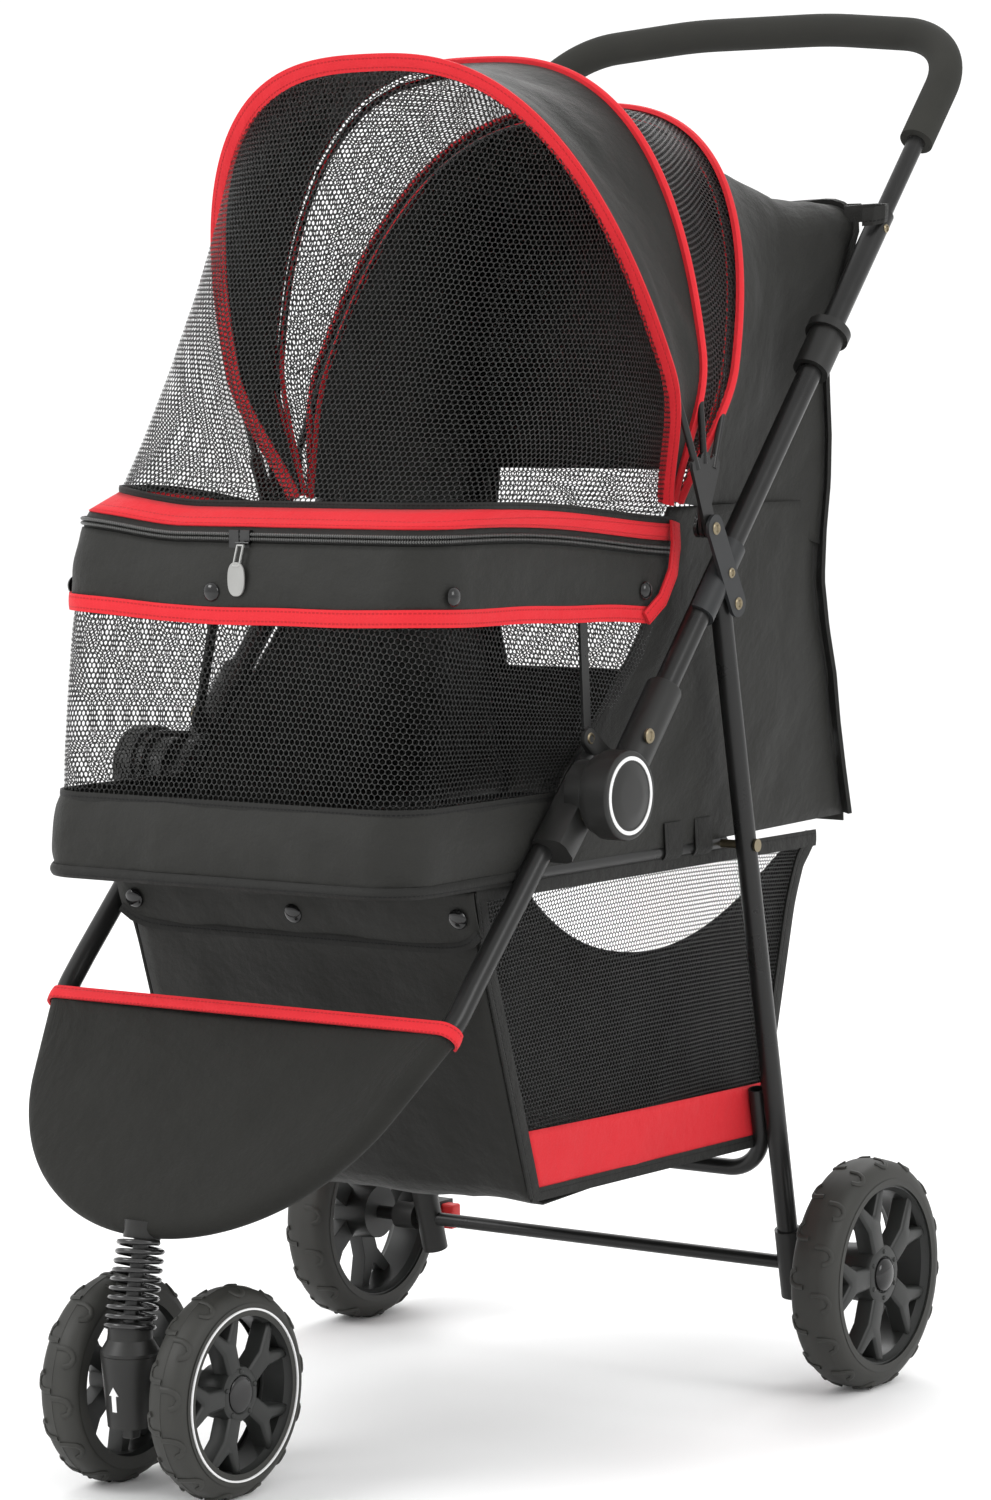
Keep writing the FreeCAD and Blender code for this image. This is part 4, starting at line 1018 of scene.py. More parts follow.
def makeCaster():
    c = caster
    across = c["along"].cross(Vector((1, 0, 0)))

    def radial(u):
        turn = 2 * math.pi * c["coilTurns"] * u
        return Vector((math.cos(turn), 0, 0)) + across * math.sin(turn)

    def coil(u):
        middle = c["loopEnd"] + c["along"] * (c["coilTop"] + c["coilLength"] * u)
        return middle + radial(u) * mix(c["coilRadius"], c["coilLowRadius"], u)

    spring = wirePiece("spring", coil, radial, c["wire"], 330)
    smooth(spring)
    finishPiece(spring, "springPaint", "front_frame", "spring_black", "suspension_spring")
    profile = [(-0.002, 0.0), (-0.002, 0.0128), (0.005, 0.0118), (0.0085, 0.0122), (0.0095, 0.0118),
               (0.0095, 0.0)]
    socket = lathe("casterSocket", profile, 40)
    turn = Vector((1, 0, 0)).rotation_difference(c["along"]).to_matrix().to_4x4()
    placeMesh(socket, Matrix.Translation(c["loopEnd"]) @ turn)
    smooth(socket, 35)
    finishPiece(socket, "plastic", "front_frame", "plastic_black", "caster_socket")


arrow = {
    "top": 0.0778, "headLow": 0.0722, "low": 0.0615, "headHalf": 0.0036, "shaftHalf": 0.0017,
    "rise": 0.0004, "thick": 0.0016,
    "housingY": -0.38245, "housingZ": (0.050, 0.0967), "housingR": (0.0150, 0.0193),
}


def makeArrow():
    # raised white arrow on the front of the caster housing
    a = arrow
    right = [(a["headHalf"], a["headLow"]), (a["shaftHalf"], a["headLow"]), (a["shaftHalf"], a["low"])]
    outline = [(0.0, a["top"])] + right + [(-x, z) for x, z in reversed(right)]

    def onHousing(x, z):
        radius = mix(*a["housingR"], (z - a["housingZ"][0]) / (a["housingZ"][1] - a["housingZ"][0]))
        return (x, a["housingY"] - radius - a["rise"], z)

    piece = plate("casterArrow", [onHousing(x, z) for x, z in outline], (0, a["thick"], 0))
    finishPiece(piece, "whitePaint", "swivel", "plastic_black")


brakePad = {"place": (0.1665, 0.2105, 0.0775), "size": (0.012, 0.012, 0.019)}


def makeBrakePads():
    # red tongue behind each leg
    for side, sign in sides:
        startPiece()
        bpy.ops.mesh.primitive_cube_add(size=1)
        pad = namePiece("brakePad" + side)
        x, y, z = brakePad["place"]
        placeMesh(pad, Matrix.Translation((sign * x, y, z)) @ Matrix.Diagonal((*brakePad["size"], 1)))
        bevelEdges(pad, 0.002, 3)
        smooth(pad, 40)
        finishPiece(pad, "redPlastic", "brake_" + side.lower(), "plastic_red")


makeFittings()
makeHubs()
makeRivetHeads()
makeCaster()
makeArrow()
makeBrakePads()
print("stage: fittings")

# hood

hood = {
    "leans": (23.0, 1.6, -22.6),      # degrees in front of the vertical
    "heights": (0.343, 0.3186, 0.317),
    "halves": (0.1879, 0.1836, 0.1793),
    "power": 2.7,
    "foot": 0.157,                    # half width where the cloth meets the pivots
    "footReach": 0.12,
    "clear": 0.0036,                  # cloth outside the hoops' centre line
    "tapeWidth": 0.0125,
    "piping": 0.0062,
    "sag": 0.007,
    "frontRows": 16,
    "columns": 96,
}
rearEdgeRow = {                       # height and place of the cabin's rear edge
    "points": ((0.40, 0.262), (0.47, 0.245), (0.58, 0.222), (0.665, 0.232), (0.745, 0.227), (0.80, 0.248),
               (0.85, 0.272)),
    "half": 0.153,
    "topHalf": 0.161,
    "topZ": 0.846,
    "corner": 0.03,
}


def bowDirection(index):
    lean = math.radians(hood["leans"][index])
    return Vector((0, -math.sin(lean), math.cos(lean)))


def bowFront(index):
    lean = math.radians(hood["leans"][index])
    return Vector((0, -math.cos(lean), -math.sin(lean)))


def bowPlace(index, turn, extra):
    power = 2 / hood["power"]
    reach = abs(math.sin(turn)) ** power * (hood["heights"][index] + extra)
    half = hood["halves"][index] + extra
    half = mix(half, hood["foot"], ease(1 - reach / hood["footReach"]))
    return bowPivot + Vector((squared(math.cos(turn), power) * half, 0, 0)) + bowDirection(index) * reach


def arch(index, extra):
    # over a hoop from just above one pivot to just above the other
    low = math.radians(1.2)
    return polyline([bowPlace(index, low + (math.pi - 2 * low) * k / 360, extra) for k in range(361)])


def radialOf(index, line):
    front = bowFront(index)

    def radial(u):
        return front.cross(heading(line, u)).normalized() * -1

    return radial


def rearEdgeLine(extra, low=0.6):
    # from the height low up the right side, over the top and down the left side
    row = rearEdgeRow
    points = []
    top = row["topZ"]
    for k in range(13):
        z = mix(low, top - row["corner"], k / 12)
        half = mix(row["half"], row["topHalf"], ease((z - 0.74) / 0.1)) + extra
        points.append(Vector((half, lerpTable(row["points"], z), z)))
    centre = row["topHalf"] + extra - row["corner"]
    for k in range(1, 7):
        turn = math.radians(15 * k)
        z = top - row["corner"] + row["corner"] * math.sin(turn)
        points.append(Vector((centre + row["corner"] * math.cos(turn), lerpTable(row["points"], z), z)))
    for k in range(1, 9):
        x = mix(centre, 0, k / 8)
        points.append(Vector((x, lerpTable(row["points"], top), top - 0.004 * math.sin(math.pi * k / 16))))
    mirroredPoints = [Vector((-p.x, p.y, p.z)) for p in reversed(points[:-1])]
    return polyline(points + mirroredPoints)


def bowEnds(first, second):
    # where a cover stops following one bow and starts following the next
    tops = [bowPivot + bowDirection(index) * hood["heights"][index] for index in (first, second)]
    return mix(tops[0], tops[1], 0.35), mix(tops[0], tops[1], 0.65)


def hoodSegment(name, lineA, lineB, rows, sag):
    core = bowPivot + Vector((0, 0.02, 0.08))

    def place(u, v):
        point = mix(lineA(u), lineB(u), v)
        inward = (Vector((core.x, point.y, core.z)) - point).normalized()
        span = (lineA(u) - lineB(u)).length
        return point + inward * (4 * v * (1 - v) * sag * min(1, span / 0.1))

    return clothGrid(name, hood["columns"], rows, place)


def makeHood():
    clear, rows, columns = hood["clear"], hood["frontRows"], hood["columns"]
    lines = [arch(index, clear) for index in range(3)]
    front = hoodSegment("hoodFront", lines[0], lines[1], rows, hood["sag"])
    wrinkle(front, columns, rows, "hoodFront")
    finishSheet(front, 0.0008, None, "blackCloth", "cloth_black",
                ["canopy_front_cover"])
    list(bowEnds(1, 0))
    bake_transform(front)
    net = hoodSegment("hoodNetPanel", lines[1], lines[2], rows, hood["sag"])
    wrinkle(net, columns, rows, "hoodNetPanel")
    finishSheet(net, 0.0005, None, "hoodNet", "mesh_black",
                ["canopy_mesh_cover"])
    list(bowEnds(2, 1))
    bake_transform(net)
    rear = hoodSegment("hoodRear", lines[2], rearEdgeLine(0.001), 28, 0.012)
    wrinkle(rear, columns, 28, "hoodRear")
    finishSheet(rear, 0.0008, None, "blackCloth", "cloth_black",
                ["canopy_rear_cover"])
    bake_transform(rear)
    tapeLine, ahead = arch(0, 0.0012), bowFront(0)
    binding = tape("hoodBinding", lambda u: tapeLine(u) + ahead * 0.0034, radialOf(0, tapeLine),
                   lambda u: ahead, hood["tapeWidth"], 0.0016, 160)
    finishPiece(binding, "redTape", "canopy_front", "cloth_red")
    for index, bow in ((1, "Middle"), (2, "Rear")):
        for end, extra, width, thick, steps, crown in (("", clear + 0.0012, hood["piping"], 0.0028, 160, 0.6),
                                                       ("Inside", -0.0036, 0.005, 0.001, 120, 0.25)):
            line, across = arch(index, extra), bowFront(index)
            piping = tape("hoodPiping" + bow + end, line, lambda u: across, radialOf(index, line), width,
                          thick, steps, crown)
            finishPiece(piping, "redPiping", "canopy_" + bow.lower(), "cloth_red")


makeHood()
print("stage: hood")

# cabin

cabin = {
    "half": 0.150, "corner": 0.032,
    "lowZ": 0.400, "zipZ": 0.612, "railZ": 0.636,
    "frontLow": -0.2904, "frontZip": -0.2574, "frontRail": -0.2345,
    "bandTop": 0.446, "bandLow": 0.393,
    "flapLow": 0.567, "flapTop": 0.6135,
    "zipTape": (0.6105, 0.6250), "zipCoils": (0.6165, 0.6195), "redLow": 0.6245, "domeHem": 0.6385,
    "railHalf": 0.1512, "railCorner": 0.058,
    "drop": 0.015, "cornerLift": 0.008,
    "columns": 120,
}
# height and place of the edges at which the front wall and the flap end on the sides
slantEdge = ((0.386, -0.166), (0.419, -0.134), (0.453, -0.103), (0.488, -0.066), (0.513, -0.039),
             (0.542, -0.011), (0.564, 0.0025), (0.60, 0.012), (0.64, 0.03))
flapEdge = ((0.56, -0.014), (0.60, 0.018), (0.615, 0.03))
# line of the red tape that closes the flap's end on the right
flapEnd = ((0.1600, -0.018, 0.5575), (0.1630, -0.002, 0.570), (0.1625, 0.012, 0.588), (0.1585, 0.022, 0.606),
           (0.1550, 0.026, 0.622))
sidePanel = {"half": 0.1503, "top": 0.632, "bottom": (0.392, 0.401), "lap": 0.004, "bulge": 0.0035}
rearWindow = {"half": 0.139, "low": 0.499, "top": 0.664, "tapeWidth": 0.012}


def railDrop(y):
    # the rail, its zip and its tapes fall from the front towards the pivots
    return cabin["drop"] * ease((y - cabin["frontRail"]) / 0.25) * (y - cabin["frontRail"]) / 0.25


def wallShape(z):
    # half width, corner radius and front of the cabin wall at a height
    if z <= cabin["zipZ"] + 0.0105:
        share = min((z - cabin["lowZ"]) / (cabin["zipZ"] - cabin["lowZ"]), 1)
        return cabin["half"], cabin["corner"], mix(cabin["frontLow"], cabin["frontZip"], share)
    share = min((z - cabin["zipZ"] - 0.0105) / (cabin["railZ"] - cabin["zipZ"] - 0.0105), 1)
    return (mix(cabin["half"], cabin["railHalf"], share), mix(cabin["corner"], cabin["railCorner"], share),
            mix(cabin["frontZip"], cabin["frontRail"], share))


def wallPoint(run, z, off=0.0):
    half, corner, front = wallShape(z)
    half, corner, front = half + off, corner + off, front - off
    flat, bend = half - corner, corner * math.pi / 2
    s, sign = abs(run), 1 if run >= 0 else -1
    if s < flat:
        return Vector((sign * s, front, z))
    if s < flat + bend:
        turn = (s - flat) / corner
        return Vector((sign * (flat + corner * math.sin(turn)), front + corner * (1 - math.cos(turn)), z))
    return Vector((sign * half, front + corner + s - flat - bend, z))


def wallRun(y, z, off):
    # distance round the wall from the middle of the front to a place on its side
    half, corner, front = wallShape(z)
    return half - corner + (corner + off) * math.pi / 2 + y - (front + corner)


def wallNormal(run, z):
    a, b = wallPoint(run - 0.001, z), wallPoint(run + 0.001, z)
    ahead = (b - a).normalized()
    return Vector((ahead.y, -ahead.x, 0)).normalized()


def fallen(point, share=1.0):
    # the left front corner is pulled up a little
    corner = cabin["cornerLift"] * ease((-0.05 - point.x) / 0.09) * ease((0.02 - point.y) / 0.18)
    return point + Vector((0, 0, (corner - railDrop(point.y)) * share))


def wallSheet(name, low, high, edge, off, rows, fall=(0.0, 0.0)):
    # a sheet round the front and both sides; fall is how far its lower and upper edges follow the rail's drop
    columns = cabin["columns"]

    def place(u, v):
        z = mix(low, high, v)
        distance = off(v) if callable(off) else off
        reach = wallRun(lerpTable(edge, z), z, distance)
        return fallen(wallPoint((2 * u - 1) * reach, z, distance), mix(*fall, v))

    return clothGrid(name, columns, rows, place)


def wallStrip(name, z, edge, off, width, thick, material, crown=0.25, fall=0.0, wave=0.0):
    # tape along the wall at a height, between the side edges
    reach = wallRun(lerpTable(edge, z), z, off)

    def line(u):
        lift = wave * (math.sin(21 * u) + 0.6 * math.sin(47 * u + 1))
        return fallen(wallPoint((2 * u - 1) * reach, z, off + lift * 0.5), fall) + Vector((0, 0, lift))

    band = tape(name, line, lambda u: Vector((0, 0, 1)), lambda u: wallNormal((2 * u - 1) * reach, z),
                width, thick, 220, crown)
    finishPiece(band, material, "upper_frame", "cloth_red" if material == "redTape" else "cloth_black")


def makeCabinFront():
    columns = cabin["columns"]
    net = wallSheet("cabinNet", cabin["bandTop"] - 0.006, cabin["flapTop"], slantEdge,
                    lambda v: 0.004 * math.sin(math.pi * v), 24, (0.0, 1.0))
    wrinkle(net, columns, 24, "cabinNet")
    finishSheet(net, 0.0005, "upper_frame", "frontNet", "mesh_black",
                ["cabin_front"])
    band = wallSheet("cabinBand", cabin["bandLow"], cabin["bandTop"], slantEdge,
                     lambda v: 0.0012 + 0.0035 * math.sin(math.pi * v), 14)
    wrinkle(band, columns, 14, "cabinBand")
    finishSheet(band, 0.001, "upper_frame", "blackCloth", "cloth_black")
    wallStrip("cabinHem", cabin["bandLow"], slantEdge, 0.002, 0.008, 0.003, "hemCloth", 0.6)
    wallStrip("bandSeam", cabin["bandTop"] - 0.003, slantEdge, 0.0022, 0.006, 0.0012, "hemCloth")
    flap = wallSheet("cabinFlap", cabin["flapLow"], cabin["flapTop"], flapEdge,
                     lambda v: 0.0055 - 0.003 * v + 0.004 * math.sin(math.pi * v), 12, (0.6, 1.0))
    wrinkle(flap, columns, 12, "cabinFlap")
    finishSheet(flap, 0.001, "upper_frame", "blackCloth", "cloth_black",
                replaced=["front_flap"])
    wallStrip("flapBinding", cabin["flapLow"], flapEdge, 0.0068, 0.0115, 0.0018, "redTape", fall=0.6,
              wave=0.0006)
    zipTape = wallSheet("zipTape", *cabin["zipTape"], flapEdge, 0.0012, 2, (1.0, 1.0))
    thicken(zipTape, 0.001)
    finishPiece(zipTape, "hemCloth", "upper_frame", "cloth_black", "zipper_track")
    for label, z in zip(("Low", "High"), cabin["zipCoils"]):
        wallStrip("zipCoil" + label, z, flapEdge, 0.0024, 0.0024, 0.0016, "zipCoil", 0.6, fall=1.0)
    red = wallSheet("zipBinding", cabin["redLow"], cabin["railZ"], flapEdge, 0.0018, 4, (1.0, 1.0))
    thicken(red, 0.0012)
    finishPiece(red, "redTape", "upper_frame", "cloth_red", "front_rail")
    wallStrip("domeHem", cabin["domeHem"], flapEdge, 0.0012, 0.005, 0.0014, "hemCloth", fall=1.0)


def makeSlantTapes():
    # bound edge where the side net meets the solid side, and the red end of the flap
    for side, sign in sides:
        outward = Vector((sign, 0, 0))
        points = [Vector((sign * 0.1525, y, z)) for z, y in slantEdge[:7]]
        edge = strip("slantBinding" + side, polyline(points), lambda u: outward, 0.013, 0.0018, 40)
        finishPiece(edge, "hemCloth", "upper_frame", "cloth_black")
        points = [Vector((sign * x, y, z)) for x, y, z in flapEnd]
        end = strip("flapEnd" + side, polyline(points), lambda u: outward, 0.011, 0.0018, 24)
        finishPiece(end, "redTape", "upper_frame", "cloth_red")


def makeSidePanels():
    columns, rows = 40, 36
    for side, sign in sides:
        def place(u, v):
            z = mix(mix(*sidePanel["bottom"], u), sidePanel["top"], v)
            front, rear = lerpTable(slantEdge, z) - sidePanel["lap"], lerpTable(rearEdgeRow["points"], z)
            bulge = sidePanel["bulge"] * math.sin(math.pi * u) * math.sin(math.pi * min(v * 1.1, 1))
            return Vector((sign * (sidePanel["half"] + bulge), mix(front, rear, u), z))

        panel = clothGrid("cabinSide" + side, columns, rows, place)
        wrinkle(panel, columns, rows, "cabinSide", sign)
        finishSheet(panel, 0.001, "upper_frame", "blackCloth", "cloth_black",
                    ["cabin_side_" + side.lower()], clean=True)


def makeRearPanel():
    columns, rows = 24, 36
    low, high = 0.396, rearEdgeRow["topZ"]

    def place(u, v):
        z = mix(low, high, v)
        half = mix(rearEdgeRow["half"], rearEdgeRow["topHalf"], ease((z - 0.74) / 0.1)) - 0.001
        y = lerpTable(rearEdgeRow["points"], z) + 0.004 * math.sin(math.pi * u)
        return Vector((mix(-half, half, u), y, z))

    def inWindow(centre):
        return abs(centre.x) < rearWindow["half"] and rearWindow["low"] < centre.z < rearWindow["top"]

    panel = clothGrid("cabinRear", columns, rows, place)
    windowNet = copyPiece(panel, "rearWindow")
    wrinkle(panel, columns, rows, "cabinRear")
    for sheet, drop in ((panel, inWindow), (windowNet, lambda centre: not inWindow(centre))):
        selectFaces(sheet, lambda centre, normal: drop(centre))
        bpy.ops.mesh.delete(type="FACE")
        leaveEdit()
    edge = [v.co for v in windowNet.data.vertices]
    reach, bottom, top = max(p.x for p in edge), min(p.z for p in edge), max(p.z for p in edge)
    finishSheet(panel, 0.001, "upper_frame", "blackCloth", "cloth_black",
                ["cabin_rear"])
    finishSheet(windowNet, 0.0005, "upper_frame", "frontNet", "mesh_black")

    def rearPoint(x, z):
        share = (x + rearEdgeRow["half"]) / (2 * rearEdgeRow["half"])
        return Vector((x, lerpTable(rearEdgeRow["points"], z) + 0.004 * math.sin(math.pi * share) + 0.001, z))

    frameLines = {
        "Low": [rearPoint(mix(-reach, reach, k / 16), bottom) for k in range(17)],
        "High": [rearPoint(mix(-reach, reach, k / 16), top) for k in range(17)],
        "Left": [rearPoint(-reach, mix(bottom, top, k / 12)) for k in range(13)],
        "Right": [rearPoint(reach, mix(bottom, top, k / 12)) for k in range(13)],
    }
    for label, points in frameLines.items():
        band = strip("windowBinding" + label, polyline(points), lambda u: Vector((0, 1, 0)),
                     rearWindow["tapeWidth"], 0.0016, 30)
        finishPiece(band, "hemCloth", "upper_frame", "cloth_black")
    edgeLine = rearEdgeLine(0.002, 0.402)

    def outward(u):
        x = edgeLine(u).x
        lean = Vector((math.copysign(0.5, x), 1, 0.2)) if abs(x) > 0.12 else Vector((0, 1, 0.4))
        return lean.normalized()

    piping = strip("rearEdgeBinding", edgeLine, outward, 0.009, 0.003, 160, 0.6)
    finishPiece(piping, "hemCloth", "upper_frame", "cloth_black")


def makeDome():
    columns, rows = 110, 44
    reach = wallRun(0.012, cabin["railZ"], 0.0005)
    rail = [fallen(wallPoint((1 - 2 * k / 200) * reach, cabin["railZ"], 0.0005)) for k in range(201)]
    railLine = polyline([point + Vector((0, 0, 0.002)) for point in rail])
    bowLine = arch(0, 0.0)

    sag = Vector((0, 0.010, -0.004))

    def place(u, v):
        return mix(railLine(u), bowLine(u), v) + sag * (4 * v * (1 - v)) * math.sin(math.pi * u)

    dome = clothGrid("domeNet", columns, rows, place)
    wrinkle(dome, columns, rows, "domeNet")
    finishSheet(dome, 0.0005, "upper_frame", "frontNet", "mesh_black",
                ["canopy_dome"])
    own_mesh(dome)


makeCabinFront()
makeSlantTapes()
makeSidePanels()
makeRearPanel()
makeDome()
print("stage: cabin")

# front panel

frontPanel = {
    "bend": Vector((0, -0.22802, 0.32847)),
    "ahead": Vector((0, -0.6820, -0.7314)),
    "up": Vector((0, -0.7314, 0.6820)),
    "half": 0.162, "knee": 0.030, "foot": 0.1095, "reach": 0.205, "corner": 0.145, "topEdge": 0.040,
    "cloth": 0.0084,                  # distance of the cloth from the loop's centre line
    "wrap": 205,                      # degrees that it passes round the tube
    "sag": 0.004, "tapeWidth": 0.0098,
}


def loopHalf(run):
    p = frontPanel
    return mix(p["half"], p["foot"], (run - p["knee"]) / (p["reach"] - p["knee"]))


def loopLine():
    # the loop's centre line from its left side round the end to its right side
    p = frontPanel
    closing = math.atan2(p["half"] - p["foot"], p["reach"] - p["knee"])
    turning = math.pi / 2 - closing
    centre = p["foot"] - p["corner"] * math.tan(turning / 2), p["reach"] - p["corner"]
    flat = []
    for k in range(31):
        turn = closing + turning * k / 30
        flat.append((centre[0] + p["corner"] * math.cos(turn), centre[1] + p["corner"] * math.sin(turn)))
    flat = [(loopHalf(run), run) for run in (p["topEdge"], mix(p["topEdge"], flat[0][1], 0.5))] + flat
    flat = [(-x, run) for x, run in flat] + [(x, run) for x, run in reversed(flat)]
    return polyline([p["bend"] + p["ahead"] * run + Vector((x, 0, 0)) for x, run in flat])


def makeFrontPanel():
    p = frontPanel
    line, half = loopLine(), loopHalf(p["topEdge"])
    top = p["bend"] + p["ahead"] * p["topEdge"] + p["up"] * p["cloth"]
    columns, rows, inner = 120, 34, 26

    def outOf(u):
        return heading(line, u, 0.003).cross(p["up"]).normalized()

    def place(u, v):
        axis = line(u)
        if v <= inner / rows:
            share = v * rows / inner
            start = top + Vector((mix(-half, half, u), 0, 0))
            point = mix(start, axis + p["up"] * p["cloth"], share)
            away = ease((axis - point).length / 0.045 - 0.35)
            return point - p["up"] * (p["sag"] * away * math.sin(math.pi * u))
        turn = math.radians(p["wrap"]) * (v * rows - inner) / (rows - inner)
        return axis + (p["up"] * math.cos(turn) + outOf(u) * math.sin(turn)) * p["cloth"]

    panel = clothGrid("frontPanel", columns, rows, place)
    wrinkle(panel, columns, rows, "frontPanel", last=0.68)
    thicken(panel, 0.0009, 1.0)
    cleanNormals(panel)
    finishPiece(panel, "panelCloth", "front_frame", "cloth_black", "front_panel")

    middle = p["bend"] + p["ahead"] * p["topEdge"]

    def tapePoint(side, turn):
        away = p["up"] * math.cos(turn) + Vector((side * math.sin(turn), 0, 0))
        return middle + Vector((side * half, 0, 0)) + away * (p["cloth"] + 0.0014)

    turns = [math.radians(15 * k) for k in range(11)]
    points = [tapePoint(-1, turn) for turn in reversed(turns)] + [tapePoint(1, turn) for turn in turns]
    tapeLine = polyline(points)

    def outward(u):
        point = tapeLine(u)
        if abs(point.x) <= half and (point - middle).dot(p["up"]) > 0:
            return p["up"]
        return (point - middle - Vector((math.copysign(half, point.x), 0, 0))).normalized()

    binding = tape("frontPanelBinding", tapeLine, lambda u: p["ahead"], outward, p["tapeWidth"], 0.0018, 200)
    finishPiece(binding, "redTape", "front_frame", "cloth_red", "front_panel_binding")


makeFrontPanel()
print("stage: front panel")

# basket

basket = {
    "half": 0.1428,
    "front": ((0.177, -0.1365), (0.392, -0.209)),           # height and place of the front edge
    "rear": ((0.172, 0.1565), (0.271, 0.1835), (0.371, 0.2115), (0.39, 0.2290)),
    "top": 0.3885, "sag": 0.011, "bulge": 0.005,
    "flapLow": 0.346, "flapTop": 0.3875, "flapHalf": 0.150,
    "bandLow": 0.178, "bandTop": 0.2205,
    # place and height along the middle: down the front and under the floor, then up the rear
    "lowLine": ((-0.209, 0.3885), (-0.1455, 0.198), (-0.137, 0.176), (-0.122, 0.168), (-0.06, 0.171),
                (0.1, 0.1735), (0.14, 0.172), (0.1565, 0.176)),
    "rearLine": ((0.1565, 0.176), (0.1835, 0.271), (0.2115, 0.371), (0.2285, 0.3885)),
}


def basketSide(sign, u, z, off=0.0):
    front, rear = straightTable(basket["front"], z), straightTable(basket["rear"], z)
    share = min(max((z - 0.175) / (basket["top"] - 0.175), 0), 1)
    bulge = basket["bulge"] * math.sin(math.pi * u) * math.sin(math.pi * share)
    half = mix(basket["half"], 0.1472, ease((share - 0.75) / 0.25))
    return Vector((sign * (half + bulge + off), mix(front, rear, u), z))


def hang(piece):
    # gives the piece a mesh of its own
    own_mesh(piece)
    return piece


def makeBasketShell():
    b = basket
    columns, rows, split = 30, 70, 0.64
    lowLine = polyline([Vector((0, y, z)) for y, z in b["lowLine"]])
    rearLine = polyline([Vector((0, y, z)) for y, z in b["rearLine"]])

    def place(u, v):
        across = 2 * u - 1
        if v <= split:
            point = lowLine(v / split)
        else:
            # the rear is cut away in the middle
            reach = 0.53 + 0.47 * abs(across) ** 2.2
            point = rearLine((v - split) / (1 - split) * reach)
        middle = (1 - across * across) ** 0.7
        floorShare = ease((point.z - 0.26) / -0.07)
        sag = b["sag"] * middle * floorShare * math.sin(math.pi * min(max((point.y + 0.137) / 0.2935, 0), 1))
        front = 0.003 * middle * (1 - floorShare)
        out = front if point.y > 0 else -front
        return Vector((across * b["half"], point.y + out, point.z - sag))

    shell = clothGrid("basketShell", columns, rows, place)
    wrinkle(shell, columns, rows, "basketShell")
    finishSheet(shell, 0.001, "side_rails", "blackCloth", "cloth_black",
                ["basket_front", "basket_rear", "basket_floor"])
    hang(shell)
    scoop = [place(k / 40, 1.0) + Vector((0, 0.001, 0)) for k in range(41)]
    outward = Vector((0, 1, -0.3)).normalized()
    edge = strip("basketScoopHem", polyline(scoop), lambda u: outward, 0.008, 0.0024, 60, 0.5)
    hang(finishPiece(edge, "hemCloth", "side_rails", "cloth_black"))


def makeBasketSides():
    b = basket
    columns, rows = 44, 26
    for side, sign in sides:
        net = clothGrid("basketNet" + side, columns, rows,
                        lambda u, v: basketSide(sign, u, mix(b["bandLow"], b["top"], v)))
        wrinkle(net, columns, rows, "basketNet", sign)
        hang(finishSheet(net, 0.0005, "side_rails", "basketNet", "mesh_black",
                         ["basket_sides"] if sign > 0 else [], clean=True))

        def bandPlace(u, v):
            z = mix(b["bandLow"] - 0.003 * u, b["bandTop"] - 0.006 * u, v)
            return basketSide(sign, mix(0.03, 0.985, u), z, 0.0016)

        band = clothGrid("basketBand" + side, columns, 8, bandPlace)
        wrinkle(band, columns, 8, "basketBand", sign)
        hang(finishSheet(band, 0.0009, "side_rails", "redBand", "cloth_red",
                         clean=True))
        outward = Vector((sign, 0, 0))
        # where each edge starts and ends (share along the side, height), its spans, distance out and width
        edges = {
            "Hem": ((0, 0.1765), (1, 0.1735), 30, 0.0018, 0.009),
            "FrontEdge": ((0.012, 0.176), (0.012, b["top"]), 20, 0.002, 0.012),
            "RearEdge": ((0.985, 0.172), (0.985, b["top"]), 24, 0.002, 0.012),
            "Top": ((0, b["top"] - 0.002), (1, b["top"] - 0.002), 30, 0.002, 0.012),
        }
        for label, (start, end, spans, off, width) in edges.items():
            points = []
            for k in range(spans + 1):
                along, z = (mix(low, high, k / spans) for low, high in zip(start, end))
                points.append(basketSide(sign, along, z, off))
            edge = strip("basket" + label + side, polyline(points), lambda u: outward, width, 0.0018, 50)
            hang(finishPiece(edge, "hemCloth", "side_rails", "cloth_black"))


def makeBasketFlap():
    b = basket

    def place(u, v):
        across = 2 * u - 1
        z = mix(b["flapLow"] + 0.012 * abs(across) ** 14, b["flapTop"], v)
        out = 0.003 + 0.003 * math.sin(math.pi * (1 - v) * 0.8) * (1 - 0.4 * across * across)
        return Vector((across * b["flapHalf"], straightTable(b["front"], z) - out, z))

    flap = clothGrid("basketFlap", 44, 10, place)
    wrinkle(flap, 44, 10, "basketFlap")
    hang(finishSheet(flap, 0.001, "side_rails", "blackCloth", "cloth_black"))
    hem = [place(k / 40, 0.04) + Vector((0, -0.0012, 0)) for k in range(41)]
    hang(finishPiece(strip("basketFlapHem", polyline(hem), lambda u: Vector((0, -1, 0)), 0.007, 0.0018, 60),
                     "hemCloth", "side_rails", "cloth_black"))
    for k, (x, z) in enumerate(((-0.136, 0.366), (0.0, 0.364), (0.136, 0.369))):
        y = straightTable(b["front"], z) - 0.0068
        snap = button(f"basketSnap{k + 1}", Vector((x, y, z)), Vector((0, -1, -0.34)), 0.0072, 0.0036)
        hang(finishPiece(snap, "glossCap", "side_rails", "plastic_black"))


makeBasketShell()
makeBasketSides()
makeBasketFlap()
print("stage: basket")

# floor mat, rail loops, straps, snaps and zip pull

